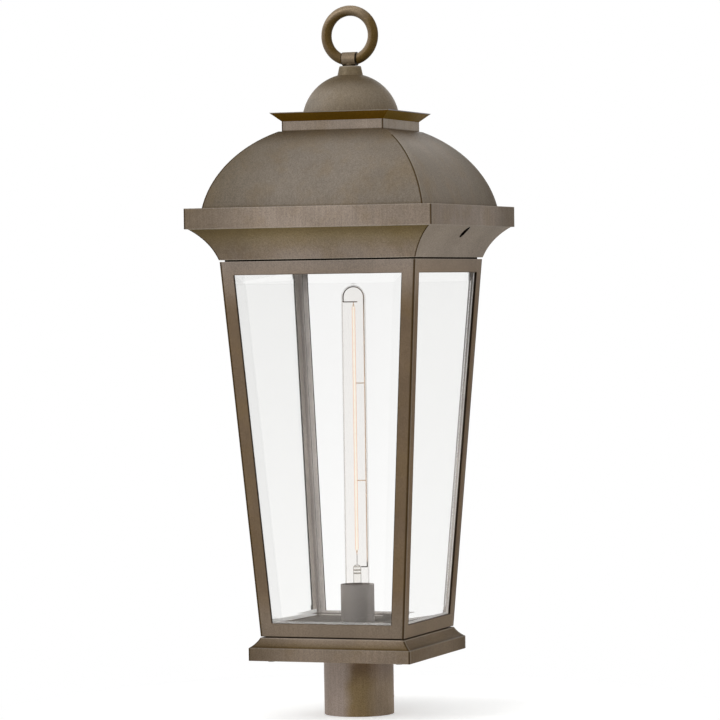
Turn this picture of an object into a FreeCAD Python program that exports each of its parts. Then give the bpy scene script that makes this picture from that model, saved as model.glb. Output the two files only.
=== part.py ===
import FreeCAD, Part
import math
import operator
import os

import Sketcher

# Outdoor post light on a round post, in millimetres.
# The origin is the centre of the fitter's lower rim, +Z is up and the front looks along -Y.
# "Half" sizes are half widths of square sections, measured from the light's upright axis.

SIZES = {
    # Post fitter
    "post_bore_radius": 38.5,
    "fitter_wall": 3.0,
    "post_depth": 66.0,
    "fitter_web": 4.0,
    "supply_hole_radius": 12.0,
    "fitter_screw_circle": 28.0,
    "set_screw_radius": 3.0,
    "set_screw_length": 6.0,
    "set_screw_height": 18.0,
    "set_screw_socket": 1.5,
    "set_screw_travel_gap": 0.2,
    # Base moulding
    "base_half": 100.4,
    "base_height": 26.6,
    "base_band_height": 15.02,
    "base_cove_radius": 28.5,
    "base_cove_margin": 0.39,
    "base_wall": 3.0,
    "pedestal_gap": 1.7,
    "pedestal_height": 9.2,
    "pedestal_hole_radius": 25.0,
    "base_plate_thickness": 3.0,
    "base_boss_inset": 4.5,
    "base_boss_radius": 5.0,
    # Screws that hold sheet parts together
    "small_screw_radius": 2.0,
    "small_head_radius": 3.8,
    "small_head_height": 2.4,
    "small_screw_length": 8.0,
    "screw_fit": 0.05,
    "screw_head_gap": 0.4,
    # Cage of posts and rails
    "base_gap": 1.3,
    "cage_height": 441.2,
    "base_overhang": 11.2,
    "eave_overhang": 31.4,
    "stile_width": 15.9,
    "rail_height": 15.9,
    "frame_wall": 3.0,
    "ledge_depth": 18.0,
    "ledge_thickness": 3.0,
    "tie_spread": 50.0,
    "tie_edge": 7.0,
    # Glass panels
    "glass_thickness": 4.0,
    "glass_edge_thickness": 2.2,
    "glass_bevel": 17.0,
    "glass_lap": 5.0,
    "glass_gap": 0.3,
    "clip_width": 12.0,
    "clip_thickness": 1.2,
    "clip_spread": 60.0,
    "clip_drop": 13.0,
    # Cage floor
    "floor_thickness": 3.0,
    "floor_gap": 0.5,
    # Top frame inside the roof
    "roof_gap": 1.9,
    "top_flange_inset": 4.6,
    "spigot_inset": 9.7,
    "spigot_wall": 2.0,
    "spigot_height": 35.0,
    # Roof skirt
    "skirt_foot_margin": 0.71,
    "skirt_cove_inset": 3.33,
    "skirt_cove_radius": 71.3,
    "skirt_height": 60.6,
    "fascia_half": 152.5,
    "fascia_height": 24.2,
    "skirt_wall": 3.0,
    "skirt_lip_gap": 0.6,
    "skirt_ledge_width": 26.5,
    # Lock screws of the roof
    "lock_hole_radius": 6.0,
    "lock_hole_height": 29.0,
    "lock_boss_radius": 9.0,
    "lock_boss_gap": 2.0,
    "lock_thread_length": 8.0,
    "lock_screw_radius": 3.0,
    "lock_screw_length": 14.0,
    "lock_screw_gap": 0.2,
    "lock_screw_socket": 1.5,
    # Four-sided roof dome
    "dome_foot_inset": 16.04,
    "dome_height": 90.0,
    "dome_wall": 2.5,
    "dome_screw_spread": 70.0,
    # Crown with its flared tray
    "crown_half": 63.3,
    "crown_inset": 3.15,
    "crown_height": 11.8,
    "crown_wall": 2.5,
    "flare_overhang": 11.4,
    "flare_height": 10.1,
    "flare_wall": 2.6,
    # Small round dome
    "cap_inset": 5.4,
    "cap_drop": 3.2,
    "cap_shoulder": 0.85,
    "cap_wall": 2.5,
    # Finial
    "collar_low_radius": 15.2,
    "collar_high_radius": 13.1,
    "collar_height": 11.0,
    "collar_rounding": 1.5,
    "shank_radius": 5.0,
    "shank_fit": 0.2,
    "neck_radius": 5.6,
    "eye_radius": 8.1,
    "eye_length": 17.5,
    "eye_axis_height": 8.6,
    "ring_radius": 29.4,
    "ring_thickness_radius": 6.2,
    "ring_shoulder": 9.9,
    "ring_rod_radius": 5.45,
    "ring_rod_fit": 0.05,
    "washer_radius": 12.0,
    "washer_thickness": 2.0,
    "finial_nut_size": 17.0,
    "finial_nut_height": 8.0,
    "shank_end": 3.0,
    # Lampholder
    "cover_radius": 20.0,
    "cover_wall": 1.2,
    "cover_height": 42.4,
    "holder_radius": 17.5,
    "holder_base_height": 3.0,
    "holder_height": 33.0,
    "holder_floor": 5.0,
    "holder_bore_radius": 14.6,
    "shell_wall": 0.6,
    "shell_radius": 14.0,
    "shell_height": 24.0,
    "contact_radius": 4.0,
    "contact_height": 1.2,
    "nipple_radius": 5.0,
    "nipple_bore_radius": 3.6,
    "nipple_length": 16.0,
    "nipple_nut_size": 16.0,
    "nipple_nut_height": 4.0,
    # Lamp
    "lamp_radius": 14.25,
    "lamp_wall": 0.9,
    "lamp_length": 388.8,
    "lamp_neck_radius": 12.4,
    "lamp_neck_length": 12.5,
    "lamp_shoulder_height": 4.0,
    "lamp_cap_radius": 13.2,
    "lamp_cap_wall": 0.5,
    "lamp_cap_length": 24.0,
    "lamp_button_height": 0.7,
    "lamp_button_radius": 4.7,
    "lamp_insulator_height": 3.4,
    "lamp_insulator_radius": 6.0,
    "lamp_contact_gap": 0.3,
    "stem_radius": 4.75,
    "stem_height": 40.1,
    "stem_foot_height": 14.0,
    "filament_radius": 2.0,
    "filament_low": 54.5,
    "filament_top_gap": 2.6,
    "filament_tip_length": 4.5,
    "filament_lead_radius": 0.35,
    "support_radius": 0.6,
    "support_wall_gap": 1.3,
    "support_hook_drop": 5.85,
    "support_hook_end": 4.6,
    # Leads inside the base
    "lead_radius": 1.0,
    "lead_circle": 1.5,
    "lead_bend": 12.0,
    "lead_run": 24.0,
    "connector_radius": 6.0,
    "connector_tip_radius": 4.2,
    "connector_length": 20.0,
    "connector_gap": 0.2,
    # One overrun serves all cuts
    "overrun": 5.0,
}

# Angles about the upright axis, in degrees. The set screws sit at the back, the lamp stopped where it seated.
SET_SCREW_ANGLES = {"left_set_screw": 45, "right_set_screw": -45}
LAMP_ANGLE = 20.5
LEAD_ANGLES = {"black_lead": 60, "white_lead": 180, "green_lead": 300}
SIDES = {"front": 0, "right": 90, "back": 180, "left": 270}
CORNERS = {"front_left": 0, "front_right": 90, "back_right": 180, "back_left": 270}
FULL_TURN = 360
NEAR_ZERO = 1e-6
QUARTER = 0.25
# Heights of the lamp's two wire anchors, counted up the filament
ANCHOR_SHARES = (0.2909, 0.6824)

document = FreeCAD.newDocument("PostLight")
sheet = document.addObject("Spreadsheet::Sheet", "Sizes")
pieces = []

OPERATIONS = {"+": operator.add, "-": operator.sub, "*": operator.mul, "/": operator.truediv}


class Size:
    """A number with the sheet formula that gives it, so that worked-out sizes stay bound to the sheet."""

    def __init__(self, number, formula):
        self.number = number
        self.formula = formula

    def __add__(self, other):
        return combine(self, "+", other)

    def __radd__(self, other):
        return combine(other, "+", self)

    def __sub__(self, other):
        return combine(self, "-", other)

    def __rsub__(self, other):
        return combine(other, "-", self)

    def __mul__(self, other):
        return combine(self, "*", other)

    def __rmul__(self, other):
        return combine(other, "*", self)

    def __truediv__(self, other):
        return combine(self, "/", other)

    def __neg__(self):
        return combine(0, "-", self)


def size_of(value):
    """A plain number becomes a Size too."""
    return value if isinstance(value, Size) else Size(value, str(value))


def combine(left, sign, right):
    left = size_of(left)
    right = size_of(right)
    number = OPERATIONS[sign](left.number, right.number)
    return Size(number, f"({left.formula} {sign} {right.formula})")


def root(value):
    return Size(math.sqrt(value.number), f"sqrt({value.formula})")


def other_side(long_side, side):
    """Third side of a right triangle from its longest side and another."""
    return root(long_side * long_side - side * side)


def fill_sheet():
    named = {}
    for row, (alias, number) in enumerate(SIZES.items(), start=1):
        cell = f"B{row}"
        sheet.set(f"A{row}", alias.replace("_", " "))
        sheet.set(cell, str(number))
        sheet.setAlias(cell, alias)
        named[alias] = Size(number, f"Sizes.{alias}")
    document.recompute()
    return named


size = fill_sheet()


# Drawing and solid helpers

def keep(label, item):
    """Name a finished piece and list it for export."""
    item.Label = label
    pieces.append(item)
    return item


def bind(item, **formulas):
    """Tie properties of an object to sizes."""
    for name, value in formulas.items():
        item.setExpression(name, size_of(value).formula)
    return item


def place(item, x=0, y=0, z=0, axis=(0, 0, 1), angle="0 deg", about_z=0):
    """Put an object at a place, turned about an axis there, and then turned about the upright axis."""
    spot = "; ".join(size_of(value).formula for value in (x, y, z))
    turn = "; ".join(str(value) for value in axis)
    local = f"placement(vector({spot}); rotation(vector({turn}); {angle}))"
    around = f"placement(vector(0; 0; 0); rotation(vector(0; 0; 1); {about_z}))"
    item.setExpression("Placement", f"{around} * {local}")
    return item


def arc_between(first, last, centre, radius):
    """The arc of under half a circle from first to last."""
    middle = (first + last) * 0.5 - centre
    return Part.Arc(first, centre + middle.normalize() * radius, last)


def hold_end(sketch, edge, end, x, y):
    """Hold one end of an edge at a place counted from the sketch's origin."""
    for kind, value, axis_line in (("DistanceX", size_of(x), -2), ("DistanceY", size_of(y), -1)):
        if abs(value.number) < NEAR_ZERO:
            sketch.addConstraint(Sketcher.Constraint("PointOnObject", edge, end, axis_line))
        elif value.number > 0:
            index = sketch.addConstraint(Sketcher.Constraint(kind, -1, 1, edge, end, value.number))
            sketch.setExpression(f"Constraints[{index}]", value.formula)
        else:
            index = sketch.addConstraint(Sketcher.Constraint(kind, edge, end, -1, 1, -value.number))
            sketch.setExpression(f"Constraints[{index}]", (-value).formula)


def draw(sketch, corners, closed=True):
    """Draw an outline. A corner is (x, y), or (x, y, arc) where an arc (x, y, radius) follows it."""
    spots = [FreeCAD.Vector(size_of(corner[0]).number, size_of(corner[1]).number, 0) for corner in corners]
    count = len(corners) if closed else len(corners) - 1
    ends = []
    for index in range(count):
        corner = corners[index]
        first = spots[index]
        last = spots[(index + 1) % len(corners)]
        if len(corner) > 2:
            centre_x, centre_y, radius = [size_of(value) for value in corner[2]]
            centre = FreeCAD.Vector(centre_x.number, centre_y.number, 0)
            edge = sketch.addGeometry(arc_between(first, last, centre, radius.number), False)
            number = sketch.addConstraint(Sketcher.Constraint("Radius", edge, radius.number))
            sketch.setExpression(f"Constraints[{number}]", radius.formula)
        else:
            edge = sketch.addGeometry(Part.LineSegment(first, last), False)
        begins_first = (sketch.getPoint(edge, 1) - first).Length < (sketch.getPoint(edge, 2) - first).Length
        start = 1 if begins_first else 2
        ends.append((edge, start, 3 - start))
        hold_end(sketch, edge, start, corner[0], corner[1])
    for index in range(count):
        edge, _, finish = ends[index]
        if index + 1 < count or closed:
            following, start, _ = ends[(index + 1) % count]
            sketch.addConstraint(Sketcher.Constraint("Coincident", edge, finish, following, start))
        else:
            hold_end(sketch, edge, finish, corners[-1][0], corners[-1][1])
    return sketch


def draw_circle(sketch, radius, x=0, y=0):
    radius = size_of(radius)
    centre = FreeCAD.Vector(size_of(x).number, size_of(y).number, 0)
    edge = sketch.addGeometry(Part.Circle(centre, FreeCAD.Vector(0, 0, 1), radius.number), False)
    number = sketch.addConstraint(Sketcher.Constraint("Radius", edge, radius.number))
    sketch.setExpression(f"Constraints[{number}]", radius.formula)
    hold_end(sketch, edge, 3, x, y)
    return sketch


def draw_hexagon(sketch, across_flats):
    """A nut's outline, with its size measured over two flat sides."""
    half = across_flats / 2
    corner = across_flats / root(size_of(3))
    rise = corner / 2
    return draw(sketch, [(half, -rise), (half, rise), (0, corner),
                         (-half, rise), (-half, -rise), (0, -corner)])


def new_body(name):
    return document.addObject("PartDesign::Body", name)


def body_sketch(body, plane, height=None):
    """A sketch on one of the body's own planes, lifted along the plane's normal."""
    sketch = body.newObject("Sketcher::SketchObject", "Sketch")
    origin_plane = [feature for feature in body.Origin.OriginFeatures if feature.Role == plane][0]
    sketch.AttachmentSupport = [(origin_plane, "")]
    sketch.MapMode = "FlatFace"
    if height is not None:
        sketch.setExpression("AttachmentOffset.Base.z", size_of(height).formula)
    return sketch


def pad(body, sketch, length):
    feature = body.newObject("PartDesign::Pad", "Pad")
    feature.Profile = sketch
    return bind(feature, Length=length)


def pocket(body, sketch, length):
    """Cut downwards from the sketch."""
    feature = body.newObject("PartDesign::Pocket", "Pocket")
    feature.Profile = sketch
    return bind(feature, Length=length)


def loft(body, low_corners, low_height, high_corners, high_height):
    """A straight-sided solid between two level outlines."""
    low = draw(body_sketch(body, "XY_Plane", low_height), low_corners)
    high = draw(body_sketch(body, "XY_Plane", high_height), high_corners)
    feature = body.newObject("PartDesign::AdditiveLoft", "Loft")
    feature.Profile = low
    feature.Sections = [high]
    feature.Ruled = True
    return feature


def turned(name, corners):
    """A piece turned about its upright axis from its outline in radius and height."""
    body = new_body(name)
    sketch = draw(body_sketch(body, "XZ_Plane"), corners)
    feature = body.newObject("PartDesign::Revolution", "Revolution")
    feature.Profile = sketch
    feature.ReferenceAxis = (sketch, ["V_Axis"])
    feature.Angle = FULL_TURN
    return body


def tube(name, outer, inner, low, high):
    """A plain round sleeve between two heights."""
    return turned(name, [(inner, low), (outer, low), (outer, high), (inner, high)])


def cylinder(radius, length, x=0, y=0, z=0, axis=(0, 0, 1), angle="0 deg", about_z=0):
    item = document.addObject("Part::Cylinder", "Rod")
    bind(item, Radius=radius, Height=length)
    return place(item, x, y, z, axis, angle, about_z)


def fuse(items):
    """Items joined, or kept side by side where they don't touch."""
    item = document.addObject("Part::MultiFuse", "Joined")
    item.Shapes = items
    return item


def cut(base, tool):
    item = document.addObject("Part::Cut", "Trimmed")
    item.Base = base
    item.Tool = tool
    return item


def common(first, second):
    item = document.addObject("Part::Common", "Shared")
    item.Base = first
    item.Tool = second
    return item


def square_solid(corners):
    """A solid of square plan with mitred corners, given by half width and height from low to high."""
    widest = max((size_of(corner[0]) for corner in corners), key=lambda value: value.number)
    right = [(corner[0], corner[1]) + tuple(corner[2:]) for corner in corners]
    left = []
    for index in range(len(corners) - 1, -1, -1):
        half, height = corners[index][0], corners[index][1]
        arc = ()
        if index > 0 and len(corners[index - 1]) > 2:
            centre_half, centre_height, radius = corners[index - 1][2]
            arc = ((-size_of(centre_half), centre_height, radius),)
        left.append((-size_of(half), height) + arc)
    slabs = []
    for axis, angle in (((1, 0, 0), "90 deg"), ((1, 1, 1), "120 deg")):
        sketch = document.addObject("Sketcher::SketchObject", "Outline")
        place(sketch, axis=axis, angle=angle)
        draw(sketch, right + left)
        slab = document.addObject("Part::Extrusion", "Slab")
        slab.Base = sketch
        slab.DirMode = "Normal"
        slab.Solid = True
        slab.Symmetric = True
        bind(slab, LengthFwd=widest * 2 + size["overrun"])
        slabs.append(slab)
    return common(*slabs)


def square_box(half, low, high):
    return square_solid([(half, low), (half, high)])


def pan_screw(x, y, top, length, about_z=0, upwards=True):
    """A small screw. Its tip is at the top, or at the bottom when it points down, its head at the far end."""
    shank_length = length + size["small_head_height"] / 2
    if upwards:
        shank = cylinder(size["small_screw_radius"], shank_length, x, y, top - shank_length, about_z=about_z)
        head_low = top - length - size["small_head_height"]
    else:
        shank = cylinder(size["small_screw_radius"], shank_length, x, y, top - length, about_z=about_z)
        head_low = top
    head = cylinder(size["small_head_radius"], size["small_head_height"], x, y, head_low, about_z=about_z)
    return fuse([shank, head])


# Widths and heights that the pieces share

fitter_radius = size["post_bore_radius"] + size["fitter_wall"]
cage_low_half = size["base_half"] - size["base_overhang"]
cage_high_half = size["fascia_half"] - size["eave_overhang"]
pedestal_half = cage_low_half - size["frame_wall"] - size["pedestal_gap"]
spigot_half = cage_high_half - size["spigot_inset"]
skirt_ledge_half = size["fascia_half"] - size["skirt_ledge_width"]
cap_radius = size["crown_half"] - size["cap_inset"]
base_low = size["post_depth"] + size["fitter_web"]
base_high = base_low + size["base_height"]
pedestal_high = base_high + size["pedestal_height"]
cage_low = base_high + size["base_gap"]
cage_high = cage_low + size["cage_height"]
cage_slope = (cage_high_half - cage_low_half) / size["cage_height"]
cage_stretch = root(1 + cage_slope * cage_slope)
floor_low = pedestal_high + size["ledge_thickness"]
floor_high = floor_low + size["floor_thickness"]
opening_low = cage_low + size["rail_height"]
opening_high = cage_high - size["rail_height"]
roof_low = cage_high + size["roof_gap"]
fascia_high = roof_low + size["skirt_height"]
fascia_low = fascia_high - size["fascia_height"]
dome_high = fascia_high + size["dome_height"]
tray_floor_low = dome_high + size["crown_height"]
tray_floor_high = tray_floor_low + size["crown_wall"]
cap_centre = tray_floor_high - size["cap_drop"]
cap_high = cap_centre + other_side(cap_radius, size["collar_low_radius"] + size["cap_shoulder"])
collar_high = cap_high + size["collar_height"]
eye_axis = collar_high + size["eye_axis_height"]
screw_hole = size["small_screw_radius"] + size["screw_fit"]
shank_hole = size["shank_radius"] + size["shank_fit"]


def cage_half(height):
    """Half width over the outside of the cage at a height."""
    return cage_low_half + (height - cage_low) * cage_slope


def cove_between(low_half, low_height, high_half, rise, radius):
    """The concave arc between two ends of a cove, as (centre half width, centre height, radius)."""
    spread = high_half - low_half
    reach = root(radius * radius / (spread * spread + rise * rise) - QUARTER)
    return (low_half + spread / 2 + rise * reach, low_height + rise / 2 - spread * reach, radius)


# Post fitter and base

def make_fitter():
    bore = size["post_bore_radius"]
    cup = turned("FitterCup", [
        (bore, 0), (fitter_radius, 0), (fitter_radius, base_low),
        (size["supply_hole_radius"], base_low), (size["supply_hole_radius"], size["post_depth"]),
        (bore, size["post_depth"]),
    ])
    holes = [cylinder(screw_hole, size["fitter_web"] + size["overrun"] * 2, size["fitter_screw_circle"], 0,
                      size["post_depth"] - size["overrun"], about_z=angle) for angle in SIDES.values()]
    for angle in SET_SCREW_ANGLES.values():
        holes.append(cylinder(size["set_screw_radius"] + size["screw_fit"],
                              size["fitter_wall"] + size["overrun"] * 2,
                              0, bore - size["overrun"], size["set_screw_height"],
                              (1, 0, 0), "-90 deg", angle))
    keep("post_fitter", cut(cup, fuse(holes)))


def make_grub_screw(label, radius, length, socket_half, about_z, start, height):
    """A headless screw that points at the upright axis from +Y, with a hexagon socket in its outer end."""
    body = new_body(label)
    pad(body, draw_circle(body_sketch(body, "XY_Plane"), radius), length)
    socket = body_sketch(body, "XY_Plane", length)
    draw_hexagon(socket, socket_half * 2)
    pocket(body, socket, length / 3)
    place(body, 0, start, height, (1, 0, 0), "-90 deg", about_z)
    return keep(label, body)


def make_set_screws():
    for label, angle in SET_SCREW_ANGLES.items():
        make_grub_screw(label, size["set_screw_radius"], size["set_screw_length"], size["set_screw_socket"],
                        angle, size["post_bore_radius"] + size["set_screw_travel_gap"],
                        size["set_screw_height"])


def cove_half(height, centre_half, centre_height, radius):
    """Half width of a concave cove at a height."""
    return centre_half - other_side(radius, centre_height - height)


def make_base():
    wall = size["base_wall"]
    band_high = base_low + size["base_band_height"]
    cove_high_half = cage_low_half + size["base_cove_margin"]
    cove = cove_between(size["base_half"], band_high, cove_high_half,
                        size["base_height"] - size["base_band_height"], size["base_cove_radius"])
    inner_cove = (cove[0], cove[1], cove[2] + wall)
    inner_half = size["base_half"] - wall
    inner_band_high = cove[1] - other_side(inner_cove[2], cove[0] - inner_half)
    deck_low = base_high - wall
    outside = square_solid([
        (size["base_half"], base_low), (size["base_half"], band_high, cove),
        (cove_high_half, base_high), (pedestal_half, base_high), (pedestal_half, pedestal_high),
    ])
    inside = square_solid([
        (inner_half, base_low - size["overrun"]), (inner_half, inner_band_high, inner_cove),
        (cove_half(deck_low, *inner_cove), deck_low), (pedestal_half - wall, deck_low),
        (pedestal_half - wall, pedestal_high - wall),
    ])
    place_of_boss = pedestal_half - size["base_boss_inset"]
    plate_high = base_low + size["base_plate_thickness"]
    bosses = []
    holes = []
    for angle in CORNERS.values():
        bosses.append(cylinder(size["base_boss_radius"], deck_low + wall / 2 - plate_high,
                               -place_of_boss, -place_of_boss, plate_high, about_z=angle))
        hole_depth = size["small_screw_length"] + size["screw_fit"] - plate_high + base_low
        holes.append(cylinder(screw_hole, hole_depth, -place_of_boss, -place_of_boss, plate_high,
                              about_z=angle))
    for angle in SIDES.values():
        for spread in (-size["tie_spread"], size["tie_spread"]):
            holes.append(cylinder(screw_hole, size["base_wall"] + size["overrun"] * 2, spread, -tie_place(),
                                  pedestal_high - wall - size["overrun"], about_z=angle))
    holes.append(cylinder(size["pedestal_hole_radius"], wall + size["overrun"] * 2,
                          z=pedestal_high - wall - size["overrun"]))
    shell = fuse([cut(outside, inside)] + bosses)
    keep("base_moulding", cut(shell, fuse(holes)))
    plate_holes = [cylinder(size["supply_hole_radius"], size["base_plate_thickness"] + size["overrun"] * 2,
                            z=base_low - size["overrun"])]
    corner_screws = []
    fitter_screws = []
    for angle in CORNERS.values():
        plate_holes.append(cylinder(screw_hole, size["base_plate_thickness"] + size["overrun"] * 2,
                                    -place_of_boss, -place_of_boss, base_low - size["overrun"],
                                    about_z=angle))
        corner_screws.append(pan_screw(-place_of_boss, -place_of_boss, base_low + size["small_screw_length"],
                                       size["small_screw_length"], angle))
    for angle in SIDES.values():
        plate_holes.append(cylinder(screw_hole, size["base_plate_thickness"] + size["overrun"] * 2,
                                    size["fitter_screw_circle"], 0, base_low - size["overrun"],
                                    about_z=angle))
        fitter_screws.append(pan_screw(size["fitter_screw_circle"], 0, plate_high,
                                       size["base_plate_thickness"] + size["fitter_web"], angle, False))
    plate = square_box(inner_half - size["screw_fit"], base_low, plate_high)
    keep("base_plate", cut(plate, fuse(plate_holes)))
    keep("base_plate_screws", fuse(corner_screws))
    keep("fitter_screws", fuse(fitter_screws))


def tie_place():
    """Distance from the axis to the screws that tie floor, ledge and pedestal together."""
    return pedestal_half - size["tie_edge"]


# Cage

def make_corner_posts():
    wall = size["frame_wall"]
    width = size["stile_width"]

    def angle_section(half):
        return [(-half, -half), (width - half, -half), (width - half, wall - half),
                (wall - half, wall - half), (wall - half, width - half), (-half, width - half)]

    for name, angle in CORNERS.items():
        body = new_body(f"{name}_post")
        loft(body, angle_section(cage_half(cage_low)), cage_low,
             angle_section(cage_half(cage_high)), cage_high)
        place(body, about_z=angle)
        keep(f"{name}_post", body)


def make_rail(label, angle, low, high, ledge_low, ledge_high, screw_place, screw_spread):
    """A rail between two posts with a level ledge on its inner side, mitred to its neighbours' ledges."""
    wall = size["frame_wall"]

    def bar_section(half):
        reach = half - size["stile_width"]
        return [(-reach, -half), (reach, -half), (reach, wall - half), (-reach, wall - half)]

    body = new_body(label)
    loft(body, bar_section(cage_half(low)), low, bar_section(cage_half(high)), high)
    inner = cage_half(ledge_low) - wall
    root_line = inner + wall / 2
    reach = cage_half(ledge_low) - size["stile_width"]
    edge = inner - size["ledge_depth"]
    ledge = body_sketch(body, "XY_Plane", ledge_low)
    draw(ledge, [(-reach, -root_line), (reach, -root_line), (reach, -inner), (inner, -inner), (edge, -edge),
                 (-edge, -edge), (-inner, -inner), (-reach, -inner)])
    pad(body, ledge, ledge_high - ledge_low)
    for spread in (-screw_spread, screw_spread):
        hole = draw_circle(body_sketch(body, "XY_Plane", ledge_high), screw_hole, spread, -screw_place)
        pocket(body, hole, ledge_high - ledge_low)
    place(body, about_z=angle)
    keep(label, body)


def top_screw_place():
    """Distance from the axis to the top frame's screws, whose heads stand just inside the spigot."""
    return spigot_half - size["spigot_wall"] - size["small_head_radius"] - size["screw_head_gap"]


def make_rails():
    for name, angle in SIDES.items():
        make_rail(f"{name}_bottom_rail", angle, cage_low, opening_low, pedestal_high, floor_low,
                  tie_place(), size["tie_spread"])
    for name, angle in SIDES.items():
        make_rail(f"{name}_top_rail", angle, opening_high, cage_high, cage_high - size["ledge_thickness"],
                  cage_high, top_screw_place(), size["tie_spread"])


def glass_inner_half(height):
    """Half width over the inner faces of the glass at a height."""
    return (cage_half(height) - size["frame_wall"] - size["glass_gap"]
            - size["glass_thickness"] * cage_stretch)


def make_glass():
    """Tilted panels that stand on the bottom ledges, with a bevel round the outer face."""
    low = floor_low + size["glass_thickness"] * cage_slope
    high = opening_high + size["glass_lap"]
    low_reach = cage_half(low) - size["stile_width"] + size["glass_lap"]
    high_reach = cage_half(high) - size["stile_width"] + size["glass_lap"]
    length = (high - low) * cage_stretch
    taper = (high_reach - low_reach) / length
    bevel = size["glass_bevel"]
    side_bevel = bevel * root(1 + taper * taper)

    def outline(inset, side_inset):
        low_half = low_reach + taper * inset - side_inset
        high_half = high_reach - taper * inset - side_inset
        return [(-low_half, inset), (low_half, inset),
                (high_half, length - inset), (-high_half, length - inset)]

    edge = size["glass_edge_thickness"]
    for name, angle in SIDES.items():
        body = new_body(f"{name}_glass")
        pad(body, draw(body_sketch(body, "XY_Plane"), outline(0, 0)), edge)
        loft(body, outline(0, 0), edge, outline(bevel, side_bevel), size["glass_thickness"])
        place(body, 0, -glass_inner_half(low), low, (1, 0, 0), f"90 deg + atan({cage_slope.formula})", angle)
        keep(f"{name}_glass", body)


def make_glass_clips():
    """Angle clips under the top ledges, each with its leg behind the glass."""
    thickness = size["clip_thickness"]
    high = cage_high - size["ledge_thickness"]
    low = high - size["clip_drop"]
    glass_face = glass_inner_half(low) - size["glass_gap"]
    reach = cage_half(high) - size["frame_wall"] - size["glass_gap"]
    clips = []
    for angle in SIDES.values():
        for spread in (-size["clip_spread"], size["clip_spread"]):
            sketch = document.addObject("Sketcher::SketchObject", "ClipSection")
            draw(sketch, [(-reach, high), (-reach, high - thickness), (-glass_face, high - thickness),
                          (-glass_face, low), (thickness - glass_face, low), (thickness - glass_face, high)])
            place(sketch, spread, 0, 0, (1, 1, 1), "120 deg", angle)
            clip = document.addObject("Part::Extrusion", "Clip")
            clip.Base = sketch
            clip.DirMode = "Normal"
            clip.Solid = True
            clip.Symmetric = True
            bind(clip, LengthFwd=size["clip_width"])
            clips.append(clip)
    keep("glass_clips", fuse(clips))


def make_floor():
    half = glass_inner_half(floor_low) - size["floor_gap"]
    hole_length = size["floor_thickness"] + size["overrun"] * 2
    holes = [cylinder(size["nipple_radius"] + size["screw_fit"], hole_length, z=floor_low - size["overrun"])]
    screws = []
    tie_length = floor_high - pedestal_high + size["base_wall"]
    for angle in SIDES.values():
        for spread in (-size["tie_spread"], size["tie_spread"]):
            holes.append(cylinder(screw_hole, hole_length, spread, -tie_place(), floor_low - size["overrun"],
                                  about_z=angle))
            screws.append(pan_screw(spread, -tie_place(), floor_high, tie_length, angle))
    keep("cage_floor", cut(square_box(half, floor_low, floor_high), fuse(holes)))
    keep("cage_tie_screws", fuse(screws))


def make_top_frame():
    wall = size["spigot_wall"]
    spigot = spigot_half
    outer = cage_half(cage_high) - size["top_flange_inset"]
    inner = cage_half(cage_high - size["ledge_thickness"]) - size["frame_wall"] - size["ledge_depth"]
    outside = square_solid([(outer, cage_high), (outer, roof_low), (spigot, roof_low),
                            (spigot, cage_high + size["spigot_height"])])
    inside = square_solid([(inner, cage_high - size["overrun"]), (inner, roof_low), (spigot - wall, roof_low),
                           (spigot - wall, cage_high + size["spigot_height"] + size["overrun"])])
    holes = []
    screws = []
    for angle in SIDES.values():
        for spread in (-size["tie_spread"], size["tie_spread"]):
            holes.append(cylinder(screw_hole, size["roof_gap"] + size["overrun"] * 2, spread,
                                  -top_screw_place(), cage_high - size["overrun"], about_z=angle))
            screws.append(pan_screw(spread, -top_screw_place(), roof_low,
                                    size["roof_gap"] + size["ledge_thickness"], angle, False))
    keep("top_frame", cut(cut(outside, inside), fuse(holes)))
    keep("top_frame_screws", fuse(screws))


# Lampholder and its wiring

holder_low = floor_high + size["holder_base_height"]
contact_low = holder_low + size["holder_floor"]
contact_high = contact_low + size["contact_height"]
lamp_low = contact_high + size["lamp_contact_gap"]
nipple_high = floor_high + size["holder_base_height"]
nipple_low = nipple_high - size["nipple_length"]


def make_lampholder():
    outer = size["cover_radius"]
    keep("socket_cover", tube("SocketCover", outer, outer - size["cover_wall"], floor_high,
                              floor_high + size["cover_height"]))
    holder = size["holder_radius"]
    hole = size["nipple_radius"] + size["screw_fit"]
    keep("lampholder_base", tube("LampholderBase", holder, hole, floor_high, holder_low))
    bore = size["holder_bore_radius"]
    keep("lampholder_insulator", turned("LampholderInsulator", [
        (0, holder_low), (holder, holder_low), (holder, holder_low + size["holder_height"]),
        (bore, holder_low + size["holder_height"]), (bore, contact_low), (0, contact_low),
    ]))
    keep("lampholder_contact", turned("LampholderContact", [
        (0, contact_low), (size["contact_radius"], contact_low),
        (size["contact_radius"] / 2, contact_high), (0, contact_high),
    ]))
    shell = size["shell_radius"]
    keep("lampholder_shell", turned("LampholderShell", [
        (shell - size["shell_wall"], contact_low), (bore, contact_low),
        (bore, contact_low + size["shell_wall"]), (shell, contact_low + size["shell_wall"]),
        (shell, contact_low + size["shell_height"]),
        (shell - size["shell_wall"], contact_low + size["shell_height"]),
    ]))
    keep("nipple", tube("Nipple", size["nipple_radius"], size["nipple_bore_radius"], nipple_low, nipple_high))
    nut = new_body("NippleNut")
    sketch = body_sketch(nut, "XY_Plane", floor_low - size["nipple_nut_height"])
    draw_hexagon(sketch, size["nipple_nut_size"])
    draw_circle(sketch, hole)
    pad(nut, sketch, size["nipple_nut_height"])
    keep("nipple_nut", nut)


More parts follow.
